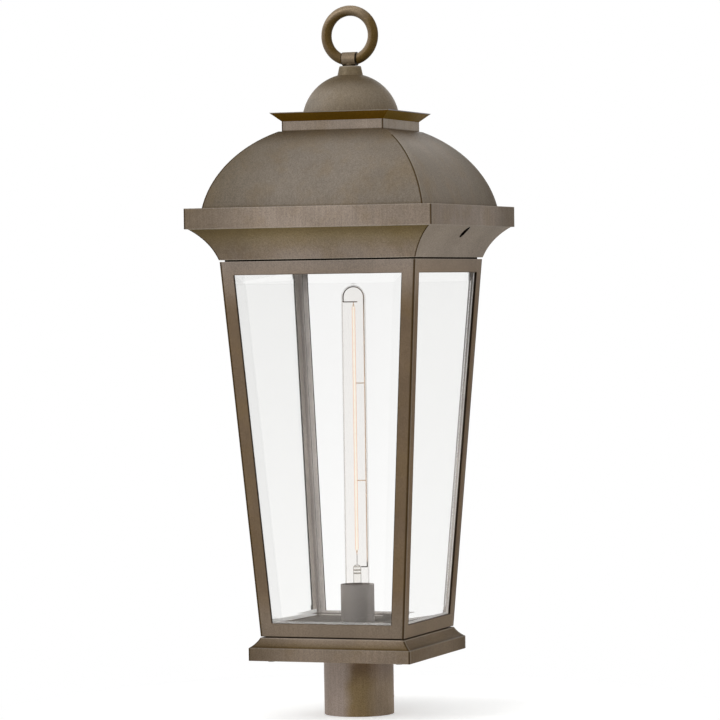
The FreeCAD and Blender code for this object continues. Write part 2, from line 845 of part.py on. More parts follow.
def make_wiring():
    """Three leads from the holder down through the nipple, each bent level and into a twist-on connector."""
    plate_high = base_low + size["base_plate_thickness"]
    level = plate_high + size["connector_gap"] + size["connector_radius"]
    bend = size["lead_bend"]
    offset = size["lead_circle"]
    connectors = []
    for label, angle in LEAD_ANGLES.items():
        drop = cylinder(size["lead_radius"], holder_low - level - bend, offset, 0, level + bend,
                        about_z=angle)
        elbow = document.addObject("Part::Torus", "Elbow")
        bind(elbow, Radius1=bend, Radius2=size["lead_radius"])
        elbow.Angle3 = FULL_TURN / 4
        place(elbow, offset + bend, 0, level + bend, (0, 1, -1), "180 deg", angle)
        run = cylinder(size["lead_radius"], size["lead_run"], offset + bend, 0, level,
                       (0, 1, 0), "90 deg", angle)
        keep(label, fuse([drop, elbow, run]))
        cone = document.addObject("Part::Cone", "Connector")
        bind(cone, Radius1=size["connector_radius"], Radius2=size["connector_tip_radius"],
             Height=size["connector_length"])
        place(cone, offset + bend + size["lead_run"], 0, level, (0, 1, 0), "90 deg", angle)
        connectors.append(cone)
    keep("wire_connectors", fuse(connectors))


# Lamp

def make_lamp():
    cap_low = lamp_low + size["lamp_button_height"] + size["lamp_insulator_height"]
    cap_high = cap_low + size["lamp_cap_length"]
    tip = lamp_low + size["lamp_length"]
    radius = size["lamp_radius"]
    inner = radius - size["lamp_wall"]
    neck = size["lamp_neck_radius"]
    inner_neck = neck - size["lamp_wall"]
    neck_low = cap_high - size["lamp_neck_length"]
    shoulder = cap_high + size["lamp_shoulder_height"]
    dome = tip - radius
    envelope = turned("BulbEnvelope", [
        (inner_neck, neck_low), (neck, neck_low), (neck, cap_high), (radius, shoulder),
        (radius, dome, (0, dome, radius)), (0, tip), (0, dome + inner, (0, dome, inner)), (inner, dome),
        (inner, shoulder), (inner_neck, cap_high),
    ])
    keep("bulb_envelope", place(envelope, about_z=LAMP_ANGLE))
    cap_radius = size["lamp_cap_radius"]
    cap_wall = size["lamp_cap_wall"]
    keep("bulb_screw_cap", turned("BulbScrewCap", [
        (cap_radius - cap_wall, cap_low), (cap_radius, cap_low), (cap_radius, cap_high),
        (neck + size["screw_fit"], cap_high), (neck + size["screw_fit"], neck_low),
        (cap_radius - cap_wall, neck_low),
    ]))
    button_high = lamp_low + size["lamp_button_height"]
    keep("bulb_cap_insulator", turned("BulbCapInsulator", [
        (0, button_high), (size["lamp_insulator_radius"], button_high), (cap_radius, cap_low),
        (cap_radius - cap_wall, cap_low), (cap_radius - cap_wall, cap_low + cap_wall * 2),
        (0, cap_low + cap_wall * 2),
    ]))
    keep("bulb_contact", turned("BulbContact", [
        (0, lamp_low), (size["lamp_button_radius"] / 2, lamp_low), (size["lamp_button_radius"], button_high),
        (0, button_high),
    ]))
    stem = size["stem_radius"]
    foot = neck_low + size["stem_foot_height"]
    stem_high = neck_low + size["stem_height"]
    keep("bulb_stem", turned("BulbStem", [
        (0, neck_low), (inner_neck, neck_low), (stem, foot), (stem, stem_high - stem / 2),
        (stem / 2, stem_high), (0, stem_high),
    ]))
    filament_low = neck_low + size["filament_low"]
    hook = dome - size["support_hook_drop"]
    filament_high = hook - size["filament_top_gap"]
    lead = size["filament_lead_radius"]
    thick = size["filament_radius"]
    tip = size["filament_tip_length"]
    keep("bulb_filament", turned("BulbFilament", [
        (0, stem_high), (lead, stem_high), (lead, filament_low), (thick, filament_low + tip),
        (thick, filament_high - tip), (lead, filament_high), (lead, hook - size["support_radius"]),
        (0, hook - size["support_radius"]),
    ]))
    anchors = [filament_low + (filament_high - filament_low) * share for share in ANCHOR_SHARES]
    make_support_wire(stem_high, dome, hook, anchors)


def make_support_wire(stem_high, dome, hook, anchor_heights):
    """Wire from the stem out to the glass, up one side, over the top and back to the filament's upper end."""
    wire = size["support_radius"]
    side = size["lamp_radius"] - size["lamp_wall"] - size["support_wall_gap"]
    elbow = stem_high - size["stem_radius"] / 2
    arch = cylinder(wire, dome - elbow, side, 0, elbow, about_z=LAMP_ANGLE)
    bow = document.addObject("Part::Torus", "Bow")
    bind(bow, Radius1=side, Radius2=wire)
    bow.Angle3 = FULL_TURN / 2
    place(bow, 0, 0, dome, (1, 0, 0), "90 deg", LAMP_ANGLE)
    return_leg = cylinder(wire, dome - hook, -side, 0, hook, about_z=LAMP_ANGLE)
    start = size["stem_radius"]
    foot = cylinder(wire, side - start, start, 0, elbow, (0, 1, 0), "90 deg", LAMP_ANGLE)
    top = cylinder(wire, side + size["support_hook_end"], -side, 0, hook, (0, 1, 0), "90 deg", LAMP_ANGLE)
    knuckles = []
    for x, z in ((side, elbow), (-side, hook)):
        ball = document.addObject("Part::Sphere", "Bend")
        bind(ball, Radius=wire)
        knuckles.append(place(ball, x, 0, z, about_z=LAMP_ANGLE))
    anchors = []
    for height in anchor_heights:
        start = size["filament_radius"]
        anchors.append(cylinder(wire, side - start, start, 0, height, (0, 1, 0), "90 deg", LAMP_ANGLE))
    keep("bulb_support_wire", fuse([arch, bow, return_leg, foot, top] + knuckles + anchors))


# Roof

skirt_foot_half = cage_high_half + size["skirt_foot_margin"]
skirt_cove_high_half = size["fascia_half"] - size["skirt_cove_inset"]
skirt_cove = cove_between(skirt_foot_half, roof_low, skirt_cove_high_half,
                          size["skirt_height"] - size["fascia_height"], size["skirt_cove_radius"])
inner_skirt_cove = (skirt_cove[0], skirt_cove[1], skirt_cove[2] + size["skirt_wall"])
lock_height = roof_low + size["lock_hole_height"]
dome_foot_half = size["fascia_half"] - size["dome_foot_inset"]
dome_top_half = size["crown_half"] + size["crown_inset"]


def skirt_cavity():
    """The hollow behind the cove and the fascia, above the skirt's bottom lip."""
    wall = size["skirt_wall"]
    lip_high = roof_low + wall
    shelf = fascia_low + wall
    return square_solid([
        (cove_half(lip_high, *inner_skirt_cove), lip_high, inner_skirt_cove),
        (cove_half(shelf, *inner_skirt_cove), shelf), (size["fascia_half"] - wall, shelf),
        (size["fascia_half"] - wall, fascia_high - wall),
    ])


def dome_screw_place():
    """The screws stand midway along the dome's foot flange."""
    return (dome_foot_half - size["dome_wall"] + skirt_ledge_half) / 2


def make_roof_skirt():
    wall = size["skirt_wall"]
    lip = spigot_half + size["skirt_lip_gap"]
    outside = square_solid([
        (skirt_foot_half, roof_low, skirt_cove), (skirt_cove_high_half, fascia_low),
        (size["fascia_half"], fascia_low), (size["fascia_half"], fascia_high),
    ])
    hollow = cut(outside, skirt_cavity())
    hollow = cut(hollow, square_box(lip, roof_low - size["overrun"], roof_low + wall + size["overrun"]))
    hollow = cut(hollow, square_box(skirt_ledge_half, fascia_high - wall - size["overrun"],
                                    fascia_high + size["overrun"]))
    hole_length = size["fascia_half"] * 2 + size["overrun"] * 2
    tools = [cylinder(size["lock_hole_radius"], hole_length, -hole_length / 2, 0, lock_height,
                      (0, 1, 0), "90 deg")]
    screws = []
    for angle in SIDES.values():
        for spread in (-size["dome_screw_spread"], size["dome_screw_spread"]):
            tools.append(cylinder(screw_hole, wall + size["overrun"] * 2, spread, -dome_screw_place(),
                                  fascia_high - wall - size["overrun"], about_z=angle))
            screws.append(pan_screw(spread, -dome_screw_place(), fascia_high + size["dome_wall"],
                                    wall + size["dome_wall"], angle))
    keep("roof_skirt", cut(hollow, fuse(tools)))
    keep("dome_screws", fuse(screws))


def dome_curve():
    """The dome's sides are arcs through its foot and its top, struck from the fascia's lower edge."""
    foot_rise = fascia_high - fascia_low
    top_rise = dome_high - fascia_low
    squares = (dome_foot_half * dome_foot_half + foot_rise * foot_rise
               - dome_top_half * dome_top_half - top_rise * top_rise)
    centre_half = squares / ((dome_foot_half - dome_top_half) * 2)
    reach = dome_foot_half - centre_half
    return (centre_half, fascia_low, root(reach * reach + foot_rise * foot_rise))


def make_roof_dome():
    wall = size["dome_wall"]
    curve = dome_curve()
    inner_curve = (curve[0], curve[1], curve[2] - wall)

    def half(arc, height):
        return arc[0] + other_side(arc[2], height - arc[1])

    outside = square_solid([(dome_foot_half, fascia_high, curve), (dome_top_half, dome_high)])
    flange_high = fascia_high + wall
    inside = square_solid([
        (half(inner_curve, flange_high), flange_high, inner_curve),
        (half(inner_curve, dome_high - wall), dome_high - wall),
    ])
    shell = cut(cut(outside, inside), square_box(skirt_ledge_half, fascia_high - size["overrun"],
                                                 flange_high + size["overrun"]))
    tools = [cylinder(shank_hole, wall + size["overrun"] * 2, z=dome_high - wall - size["overrun"])]
    for angle in SIDES.values():
        for spread in (-size["dome_screw_spread"], size["dome_screw_spread"]):
            tools.append(cylinder(screw_hole, wall, spread, -dome_screw_place(), fascia_high, about_z=angle))
    keep("roof_dome", cut(shell, fuse(tools)))


def make_lock_screws():
    """A boss behind each side hole of the skirt, with a headless screw that presses on the spigot."""
    start = spigot_half + size["lock_boss_gap"]
    length = size["fascia_half"] - start
    counterbore = start + size["lock_thread_length"]
    for label, angle in (("right", -90), ("left", 90)):
        rod = cylinder(size["lock_boss_radius"], length, 0, start, lock_height, (1, 0, 0), "-90 deg", angle)
        rod = common(rod, skirt_cavity())
        wide = cylinder(size["lock_hole_radius"], length, 0, counterbore, lock_height,
                        (1, 0, 0), "-90 deg", angle)
        thread = cylinder(size["lock_screw_radius"] + size["screw_fit"], length, 0, start - size["overrun"],
                          lock_height, (1, 0, 0), "-90 deg", angle)
        keep(f"{label}_lock_boss", cut(rod, fuse([wide, thread])))
        make_grub_screw(f"{label}_lock_screw", size["lock_screw_radius"], size["lock_screw_length"],
                        size["lock_screw_socket"], angle, spigot_half + size["lock_screw_gap"],
                        lock_height)


def make_crown():
    half = size["crown_half"]
    wall = size["crown_wall"]
    flare = half + size["flare_overhang"]
    thin = size["flare_wall"]
    tray_high = tray_floor_low + size["flare_height"]
    floor_half = half + (flare - half) * wall / size["flare_height"] - thin
    outside = square_solid([(half, dome_high), (half, tray_floor_low), (flare, tray_high)])
    below = square_box(half - wall, dome_high - size["overrun"], tray_floor_low)
    tray = square_solid([(floor_half, tray_floor_high), (flare - thin, tray_high)])
    hole = cylinder(shank_hole, wall + size["overrun"] * 2, z=tray_floor_low - size["overrun"])
    keep("crown_tray", cut(cut(cut(outside, below), tray), hole))


def make_cap_dome():
    radius = cap_radius
    inner = radius - size["cap_wall"]
    foot = tray_floor_high - cap_centre
    top = cap_high - cap_centre
    inner_top = top - size["cap_wall"]
    keep("cap_dome", turned("CapDome", [
        (other_side(inner, foot), tray_floor_high), (other_side(radius, foot), tray_floor_high,
                                                     (0, cap_centre, radius)),
        (other_side(radius, top), cap_high), (shank_hole, cap_high),
        (shank_hole, cap_high - size["cap_wall"]),
        (other_side(inner, inner_top), cap_centre + inner_top, (0, cap_centre, inner)),
    ]))


def make_finial():
    low_radius = size["collar_low_radius"]
    high_radius = size["collar_high_radius"]
    rounding = size["collar_rounding"]
    keep("finial_collar", turned("FinialCollar", [
        (shank_hole, cap_high), (low_radius, cap_high),
        (high_radius, collar_high - rounding, (high_radius - rounding, collar_high - rounding, rounding)),
        (high_radius - rounding, collar_high), (shank_hole, collar_high),
    ]))
    washer_low = dome_high - size["dome_wall"] - size["washer_thickness"]
    nut_low = washer_low - size["finial_nut_height"]
    keep("finial_washer", tube("FinialWasher", size["washer_radius"], shank_hole, washer_low,
                               dome_high - size["dome_wall"]))
    nut = new_body("FinialNut")
    sketch = body_sketch(nut, "XY_Plane", nut_low)
    draw_hexagon(sketch, size["finial_nut_size"])
    draw_circle(sketch, size["shank_radius"] + size["screw_fit"])
    pad(nut, sketch, size["finial_nut_height"])
    keep("finial_nut", nut)
    shank_low = nut_low - size["shank_end"]
    shank = cylinder(size["shank_radius"], eye_axis - shank_low, z=shank_low)
    neck = cylinder(size["neck_radius"], eye_axis - collar_high, z=collar_high)
    sleeve = cylinder(size["eye_radius"], size["eye_length"], -size["eye_length"] / 2, 0, eye_axis,
                      (0, 1, 0), "90 deg")
    bore = cylinder(size["ring_rod_radius"] + size["ring_rod_fit"], size["eye_length"] + size["overrun"] * 2,
                    -size["eye_length"] / 2 - size["overrun"], 0, eye_axis, (0, 1, 0), "90 deg")
    keep("eye_bolt", cut(fuse([shank, neck, sleeve]), bore))
    make_ring()


def make_ring():
    """The ring's round bar stops at two shoulders, and a thinner straight rod joins them through the eye."""
    shoulder = size["ring_shoulder"]
    radius = size["ring_radius"]
    thick = size["ring_thickness_radius"]
    centre = eye_axis + other_side(radius, shoulder)
    whole = document.addObject("Part::Torus", "WholeRing")
    bind(whole, Radius1=radius, Radius2=thick)
    place(whole, 0, 0, centre, (1, 0, 0), "90 deg")
    gap = document.addObject("Part::Box", "EyeGap")
    bind(gap, Length=shoulder * 2, Width=thick * 4, Height=centre - eye_axis + thick * 2)
    place(gap, -shoulder, -thick * 2, eye_axis - thick * 2)
    rod_reach = shoulder + thick / 3
    rod = cylinder(size["ring_rod_radius"], rod_reach * 2, -rod_reach, 0, eye_axis, (0, 1, 0), "90 deg")
    keep("finial_ring", fuse([cut(whole, gap), rod]))


def write_parts():
    """Check every object, then write one file for each piece."""
    document.recompute()
    faults = []
    for item in document.Objects:
        if "Invalid" in item.State or "Error" in item.State:
            faults.append(f"{item.Label}: {item.State}")
    for piece in pieces:
        if piece.Shape.isNull() or not piece.Shape.isValid() or not piece.Shape.Solids:
            faults.append(f"{piece.Label}: no valid solid")
    if faults:
        raise RuntimeError("; ".join(faults))
    os.makedirs("parts", exist_ok=True)
    for piece in pieces:
        piece.Shape.exportStep(os.path.join("parts", piece.Label + ".step"))


make_fitter()
make_set_screws()
make_base()
make_corner_posts()
make_rails()
make_glass()
make_glass_clips()
make_floor()
make_top_frame()
make_lampholder()
make_wiring()
make_lamp()
make_roof_skirt()
make_roof_dome()
make_lock_screws()
make_crown()
make_cap_dome()
make_finial()
write_parts()
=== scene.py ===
import math

import bpy
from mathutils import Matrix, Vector


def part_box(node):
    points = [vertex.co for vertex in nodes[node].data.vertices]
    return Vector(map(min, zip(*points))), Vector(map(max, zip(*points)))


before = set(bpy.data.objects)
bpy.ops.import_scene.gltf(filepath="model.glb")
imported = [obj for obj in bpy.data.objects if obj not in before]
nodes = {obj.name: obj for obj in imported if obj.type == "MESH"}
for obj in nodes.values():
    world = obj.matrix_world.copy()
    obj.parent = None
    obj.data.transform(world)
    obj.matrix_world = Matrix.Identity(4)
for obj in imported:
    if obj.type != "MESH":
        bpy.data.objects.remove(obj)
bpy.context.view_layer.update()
scene = bpy.context.scene

# The photograph's camera, in metres, degrees and pixels
IMAGE_SIZE = 720
FOCAL_PIXELS = 3770
AXIS_PIXEL = (354.91, 398.52)
SENSOR_MM = 36.0
CAMERA_AZIMUTH = 20.459
CAMERA_ELEVATION = 1.716
CAMERA_ROLL = 0.824
CAMERA_DISTANCE = 4.4825
CAMERA_TARGET = Vector((0, 0, 0.375))
CAMERA_REACH = 50

# Floor and background
FLOOR_SIZE = 3.0
FLOOR_CORNERS = ((-1, -1), (1, -1), (1, 1), (-1, 1))
FLOOR_COLOUR = (0.86, 0.86, 0.85)
FLOOR_LIFT = 0.45
FLOOR_NEAR = 0.12
FLOOR_FAR = 0.45
FLOOR_GAP = 0.0005
DIFFUSE_WORLD = 0.40

# Each light's name, azimuth, elevation, distance, width and power
LIGHTS = (
    ("Key", -38, 30, 2.6, 1.4, 34),
    ("RightFill", 68, 40, 2.4, 1.2, 8),
    ("Top", 0, 80, 2.2, 1.2, 6),
    ("Back", 190, 25, 2.6, 1.4, 12),
)
LIGHT_TARGET = Vector((0, 0, 0.42))

# Sizes that the finishes follow, in metres. A slope is the way out for each step up
FASCIA_HEIGHT = 0.0242
FLARE_HEIGHT = 0.0101
FLARE_SLOPE = 1.129
STILE_WIDTH = 0.0159
BASE_BAND_HEIGHT = 0.01502
BASE_COVE_HEIGHT = 0.0266
PANE_SLOPE = 0.0723
BEVEL_WIDTH = 0.016
LOCK_BORE = 0.0061

# Heights and depths between which painted light and shade change, in metres. The depths count from the cage's
# outer face
GLINT_HEIGHTS = (0.1120, 0.1161)
CUP_SHADE_FADE = (0.030, 0.060)
REVEAL_START = (0.0002, 0.0005)
REVEAL_END = (0.0024, 0.0027)
INNER_START = (0.0026, 0.0029)

# Widths of painted lines, in metres
SEAM_HALF = 0.0008
CAGE_SEAM_HALF = 0.0013
SEAM_FADE = 0.0014
RIM_WIDTH = 0.0008
BEVEL_BLUR = 0.0004
BEVEL_LINE_END = 0.0010

# Scales of the bronze finish's noise
CLOUD_SCALE = 9.0
PATCH_SCALE = 26.0
STREAK_SCALE = 420.0
SPECKLE_SCALE = 850.0
RELIEF_DEPTH = 0.00012

# Stretches of the brushed streaks: upright, level, and round the finial
UPRIGHT_STREAK = (1, 1, 0.05)
LEVEL_STREAK = (1, 0.05, 1)
FINIAL_STREAK = (0.08, 1, 1)

# Bronze colours, some of them painted light and shade
TAUPE = (0.212, 0.180, 0.146)
PINK_TAUPE = (0.300, 0.243, 0.197)
GOLD_BROWN = (0.205, 0.133, 0.050)
OLIVE_PATINA_SHADE = (0.060, 0.032, 0.004)
SEAM_BROWN = (0.042, 0.022, 0.003)
# Light of wear and painted highlight along edges
WORN_EDGE_HIGHLIGHT = (0.420, 0.365, 0.300)
SHADE_BLACK = (0.018, 0.011, 0.005)
# Black of painted shade, for hollows and gaps
HOLLOW_SHADE_BLACK = (0.004, 0.002, 0.001)
COVE_GOLD_SHADE = (0.240, 0.172, 0.050)
COVE_SIDE_LIGHT = (0.326, 0.268, 0.212)
CROWN_TAUPE = (0.330, 0.272, 0.222)
FLARE_SHADE_BROWN = (0.145, 0.073, 0.004)
TRAY_TAUPE = (0.200, 0.163, 0.122)
CAP_TAUPE = (0.256, 0.222, 0.184)
CAP_TOP_SHADE = (0.080, 0.052, 0.020)
CAP_SIDE_SHADE = (0.185, 0.140, 0.085)
COLLAR_BROWN = (0.165, 0.130, 0.084)
EYE_BROWN = (0.205, 0.158, 0.108)
FINIAL_BROWN = (0.150, 0.108, 0.066)
RING_SHADE_DARK = (0.092, 0.054, 0.012)
RING_LIT_LIGHT = (0.285, 0.217, 0.145)
STILE_BROWN = (0.168, 0.118, 0.075)
RAIL_TAUPE = (0.258, 0.204, 0.160)
TOP_RAIL_TAUPE = (0.258, 0.215, 0.180)
LOW_RAIL_TAUPE = (0.222, 0.173, 0.128)
INNER_LIT_GREY = (0.460, 0.425, 0.400)
INNER_LIT_LIGHT = (0.640, 0.575, 0.525)
BASE_TAUPE = (0.246, 0.192, 0.146)
BASE_GOLD_SHADE = (0.148, 0.102, 0.046)
CUP_REFLECTION_LIGHT = (0.470, 0.380, 0.325)
CUP_GOLD_REFLECTION = (0.315, 0.215, 0.088)
CUP_DARK_SHADE = (0.150, 0.085, 0.030)
COVER_GREY = (0.244, 0.221, 0.204)
COVER_SHADE_DARK = (0.180, 0.166, 0.156)
COVER_LIT_LIGHT = (0.325, 0.300, 0.280)
FLOOR_PLATE_GREY = (0.160, 0.147, 0.133)

# Tints that multiply a colour: one for the painted shade at the corners, the others for painted light and
# shade on the two faces across the front
HIP_SHADE_TINT = (0.28, 0.20, 0.02)
ROOF_SIDE_LIGHTING = (1.06, 1.03, 0.98)
CROWN_SIDE_LIGHTING = (1.30, 1.34, 1.36)
FLARE_SIDE_LIGHTING = (1.08, 1.20, 1.61)
CAGE_SIDE_LIGHTING = (1.0, 0.94, 0.84)
BASE_SIDE_LIGHTING = (0.78, 0.72, 0.60)

# Shares, angles in degrees, and tones of the painted light and shade: tones of the front from left to right,
# and of the side from near to far
HIP_SHADE_SHARE = 1.4
NEAR_HIP_SHADE_RELIEF = 0.6
COVE_SIDE_LIGHT_SHARE = 0.90
FASCIA_CORNER_SHADE = 0.22
ROOF_LIGHTING_TONES = ((0.90, 1.08), (1.22, 0.84))
COVE_LIGHTING_TONES = ((0.91, 1.02), (1.08, 0.90))
BASE_LIGHTING_TONES = ((0.90, 1.10), (1.03, 0.90))
RING_LIGHT_SHIFT = 0.35
CAP_SHADE_SIDE = 45
COVER_SHADE_SIDE = 15
COVER_LIT_SIDE = (42, 80)
CUP_REFLECTION_STRIPES = ((-12, 16, 0.0, 0.85), (28, 62, 1.0, 0.5), (110, 150, 1.0, 0.0))

# Glass: colours, with painted shade where glass is seen edge-on, bending, and how much painted light and
# shade the bevel gets
PANE_CLEAR = (1.0, 1.0, 0.996)
PANE_EDGE = (0.88, 0.88, 0.865)
PANE_BEND = 1.15
SIDE_PANE_BEND = 1.22
# White of a painted highlight along the foot of a pane
GLINT_WHITE = (0.98, 0.98, 0.97)
BEVEL_SIDE = 0.065
BEVEL_TOP = 0.045
BEVEL_LINE = 0.04
BEVEL_FAINT = 0.3
LAMP_CLEAR = (0.965, 0.955, 0.945)
LAMP_EDGE = (0.50, 0.47, 0.43)
LAMP_BEND = 1.025
STEM_CLEAR = (0.93, 0.92, 0.90)
STEM_EDGE = (0.12, 0.09, 0.05)
STEM_BEND = 1.08

# Lamp: colours, turn of its flat parts in degrees, and lengths in metres
LAMP_TURN = 20.5
FILAMENT_CREAM = (1.0, 0.97, 0.86)
FILAMENT_PEACH = (0.88, 0.56, 0.42)
FILAMENT_ORANGE = (0.42, 0.20, 0.07)
FILAMENT_LEAD = (0.050, 0.026, 0.012)
FILAMENT_BODY = (0.02, 0.012, 0.006)
FILAMENT_TIP = 0.0045
LOW_LEAD = 0.0144
HIGH_LEAD = 0.0020
WIRE_TAN = (0.60, 0.45, 0.33)
WIRE_DARK = (0.040, 0.024, 0.014)

# Plain parts
# Black of painted shade inside the lock holes
LOCK_HOLE_SHADE = (0.016, 0.012, 0.009)
BRASS_YELLOW = (0.62, 0.43, 0.17)
GLASS_BLACK = (0.01, 0.01, 0.012)
PORCELAIN_WHITE = (0.78, 0.77, 0.73)
LEAD_BLACK = (0.012, 0.012, 0.013)
LEAD_WHITE = (0.72, 0.71, 0.68)
LEAD_GREEN = (0.02, 0.16, 0.05)
CONNECTOR_ORANGE = (0.55, 0.16, 0.03)
SCREW_GREY = (0.33, 0.31, 0.28)


def node_top(name):
    """The highest corner of a piece's box."""
    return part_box(name)[1]


def node_bottom(name):
    """The lowest corner of a piece's box."""
    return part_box(name)[0]


# Camera

def camera_axes():
    """Right, up and backward directions of the photograph's camera."""
    azimuth = math.radians(CAMERA_AZIMUTH)
    elevation = math.radians(CAMERA_ELEVATION)
    roll = math.radians(CAMERA_ROLL)
    level = math.cos(elevation)
    right = Vector((math.cos(azimuth), math.sin(azimuth), 0))
    back = Vector((math.sin(azimuth) * level, -math.cos(azimuth) * level, math.sin(elevation)))
    up = back.cross(right)
    rolled_right = right * math.cos(roll) - up * math.sin(roll)
    rolled_up = right * math.sin(roll) + up * math.cos(roll)
    return rolled_right, rolled_up, back


def add_camera():
    data = bpy.data.cameras.new("PhotoCamera")
    camera = bpy.data.objects.new("PhotoCamera", data)
    scene.collection.objects.link(camera)
    right, up, back = camera_axes()
    position = CAMERA_TARGET + back * CAMERA_DISTANCE
    for row in range(3):
        camera.matrix_world[row][0] = right[row]
        camera.matrix_world[row][1] = up[row]
        camera.matrix_world[row][2] = back[row]
        camera.matrix_world[row][3] = position[row]
    data.sensor_width = SENSOR_MM
    data.lens = FOCAL_PIXELS * SENSOR_MM / IMAGE_SIZE
    data.shift_x = (IMAGE_SIZE / 2 - AXIS_PIXEL[0]) / IMAGE_SIZE
    data.shift_y = (AXIS_PIXEL[1] - IMAGE_SIZE / 2) / IMAGE_SIZE
    data.clip_end = CAMERA_REACH
    scene.camera = camera


# Node helpers

class Tree:
    """Short calls for building a material's nodes."""

    def __init__(self, name):
        self.material = bpy.data.materials.new(name)
        self.material.use_nodes = True
        self.nodes = self.material.node_tree.nodes
        self.links = self.material.node_tree.links
        self.nodes.clear()
        self.output = self.nodes.new("ShaderNodeOutputMaterial")
        self.coordinates = self.nodes.new("ShaderNodeTexCoord").outputs["Object"]
        place = self.nodes.new("ShaderNodeSeparateXYZ")
        self.links.new(self.coordinates, place.inputs[0])
        self.across, self.along, self.height = place.outputs

    def feed(self, socket, value):
        """Link a node's output to a socket, or set the socket's own number or colour."""
        if isinstance(value, bpy.types.NodeSocket):
            self.links.new(value, socket)
        elif isinstance(value, (tuple, list)):
            opaque = (1.0,) if len(value) == 3 and socket.type == "RGBA" else ()
            socket.default_value = tuple(value) + opaque
        else:
            socket.default_value = value

    def math(self, operation, first, second=0.0):
        node = self.nodes.new("ShaderNodeMath")
        node.operation = operation
        self.feed(node.inputs[0], first)
        self.feed(node.inputs[1], second)
        return node.outputs[0]

    def add(self, first, second):
        return self.math("ADD", first, second)

    def minus(self, first, second):
        return self.math("SUBTRACT", first, second)

    def divided(self, first, second):
        return self.math("DIVIDE", first, second)

    def size(self, value):
        return self.math("ABSOLUTE", value)

    def above(self, value, limit):
        return self.math("GREATER_THAN", value, limit)

    def below(self, value, limit):
        return self.math("LESS_THAN", value, limit)

    def between(self, value, low, high):
        return self.product(self.above(value, low), self.below(value, high))

    def apart(self, first, second):
        """How far two values are from each other."""
        return self.size(self.minus(first, second))

    def length(self, first, second):
        """The length of a line with two sides at right angles."""
        return self.math("SQRT", self.add(self.product(first, first), self.product(second, second)))

    def product(self, *values):
        result = values[0]
        for value in values[1:]:
            result = self.math("MULTIPLY", result, value)
        return result

    def largest(self, *values):
        result = values[0]
        for value in values[1:]:
            result = self.math("MAXIMUM", result, value)
        return result

    def ramp(self, value, low, high, start=0.0, end=1.0, smooth=True):
        """A value read between low and high, and clamped outside them."""
        node = self.nodes.new("ShaderNodeMapRange")
        node.interpolation_type = "SMOOTHSTEP" if smooth else "LINEAR"
        for socket, number in zip(node.inputs[:5], (value, low, high, start, end)):
            self.feed(socket, number)
        return node.outputs[0]

    def mix(self, share, first, second, blend="MIX"):
        node = self.nodes.new("ShaderNodeMix")
        node.data_type = "RGBA"
        node.blend_type = blend
        self.feed(node.inputs[0], share)
        self.feed(node.inputs[6], first)
        self.feed(node.inputs[7], second)
        return node.outputs[2]

    def scaled(self, colour, factor):
        """A colour made lighter or darker by a factor that varies over the surface."""
        node = self.nodes.new("ShaderNodeVectorMath")
        node.operation = "SCALE"
        self.feed(node.inputs[0], colour)
        self.feed(node.inputs["Scale"], factor)
        return node.outputs[0]

    def reach(self):
        """How far a point of a square plan's face is from the axis."""
        return self.math("MAXIMUM", self.size(self.across), self.size(self.along))

    def beside(self):
        """How far a point of a square plan's face is from that face's middle."""
        return self.math("MINIMUM", self.size(self.across), self.size(self.along))

    def on_side(self):
        """1 on the two faces across the front, and 0 on the other two."""
        return self.above(self.size(self.across), self.size(self.along))

    def angle(self):
        """The angle round the upright axis, from the front towards the right."""
        return self.math("ARCTAN2", self.across, self.product(self.along, -1.0))

    def noise(self, scale, detail, roughness, stretch=(1, 1, 1)):
        mapping = self.nodes.new("ShaderNodeMapping")
        self.feed(mapping.inputs["Scale"], stretch)
        self.links.new(self.coordinates, mapping.inputs["Vector"])
        node = self.nodes.new("ShaderNodeTexNoise")
        self.links.new(mapping.outputs[0], node.inputs["Vector"])
        self.feed(node.inputs["Scale"], scale)
        self.feed(node.inputs["Detail"], detail)
        self.feed(node.inputs["Roughness"], roughness)
        return node.outputs[0]

    def bump(self, height, distance, strength):
        node = self.nodes.new("ShaderNodeBump")
        self.feed(node.inputs["Height"], height)
        self.feed(node.inputs["Distance"], distance)
        self.feed(node.inputs["Strength"], strength)
        return node.outputs[0]

    def surface(self, colour, roughness, metallic=0.0, normal=None, **settings):
        node = self.nodes.new("ShaderNodeBsdfPrincipled")
        self.feed(node.inputs["Base Color"], colour)
        self.feed(node.inputs["Roughness"], roughness)
        self.feed(node.inputs["Metallic"], metallic)
        if normal is not None:
            self.feed(node.inputs["Normal"], normal)
        for name, value in settings.items():
            self.feed(node.inputs[name.replace("_", " ")], value)
        self.links.new(node.outputs[0], self.output.inputs["Surface"])
        return node

    def clear_to_light(self, shader):
        """Light passes the surface without bending, so that what stands behind glass is lit."""
        path = self.nodes.new("ShaderNodeLightPath")
        clear = self.nodes.new("ShaderNodeBsdfTransparent")
        mixer = self.nodes.new("ShaderNodeMixShader")
        self.links.new(path.outputs["Is Shadow Ray"], mixer.inputs[0])
        self.links.new(shader.outputs[0], mixer.inputs[1])
        self.links.new(clear.outputs[0], mixer.inputs[2])
        self.links.new(mixer.outputs[0], self.output.inputs["Surface"])


def paint(material, *names):
    for name in names:
        data = nodes[name].data
        data.materials.clear()
        data.materials.append(material)
        nodes[name].active_material = material


# Bronze finish

def add_bands(tree, body, bands):
    """Each band is (height where it is full, height where it ends, colour, strength, cut).

    A cut band stops sharply where it is full. Another one goes on beyond it.
    """
    for full, end, shade, strength, cut in bands:
        cover = tree.ramp(tree.height, full, end, strength, 0.0)
        if cut and full < end:
            cover = tree.product(cover, tree.above(tree.height, full))
        elif cut:
            cover = tree.product(cover, tree.below(tree.height, full))
        body = tree.mix(cover, body, shade)
    return body


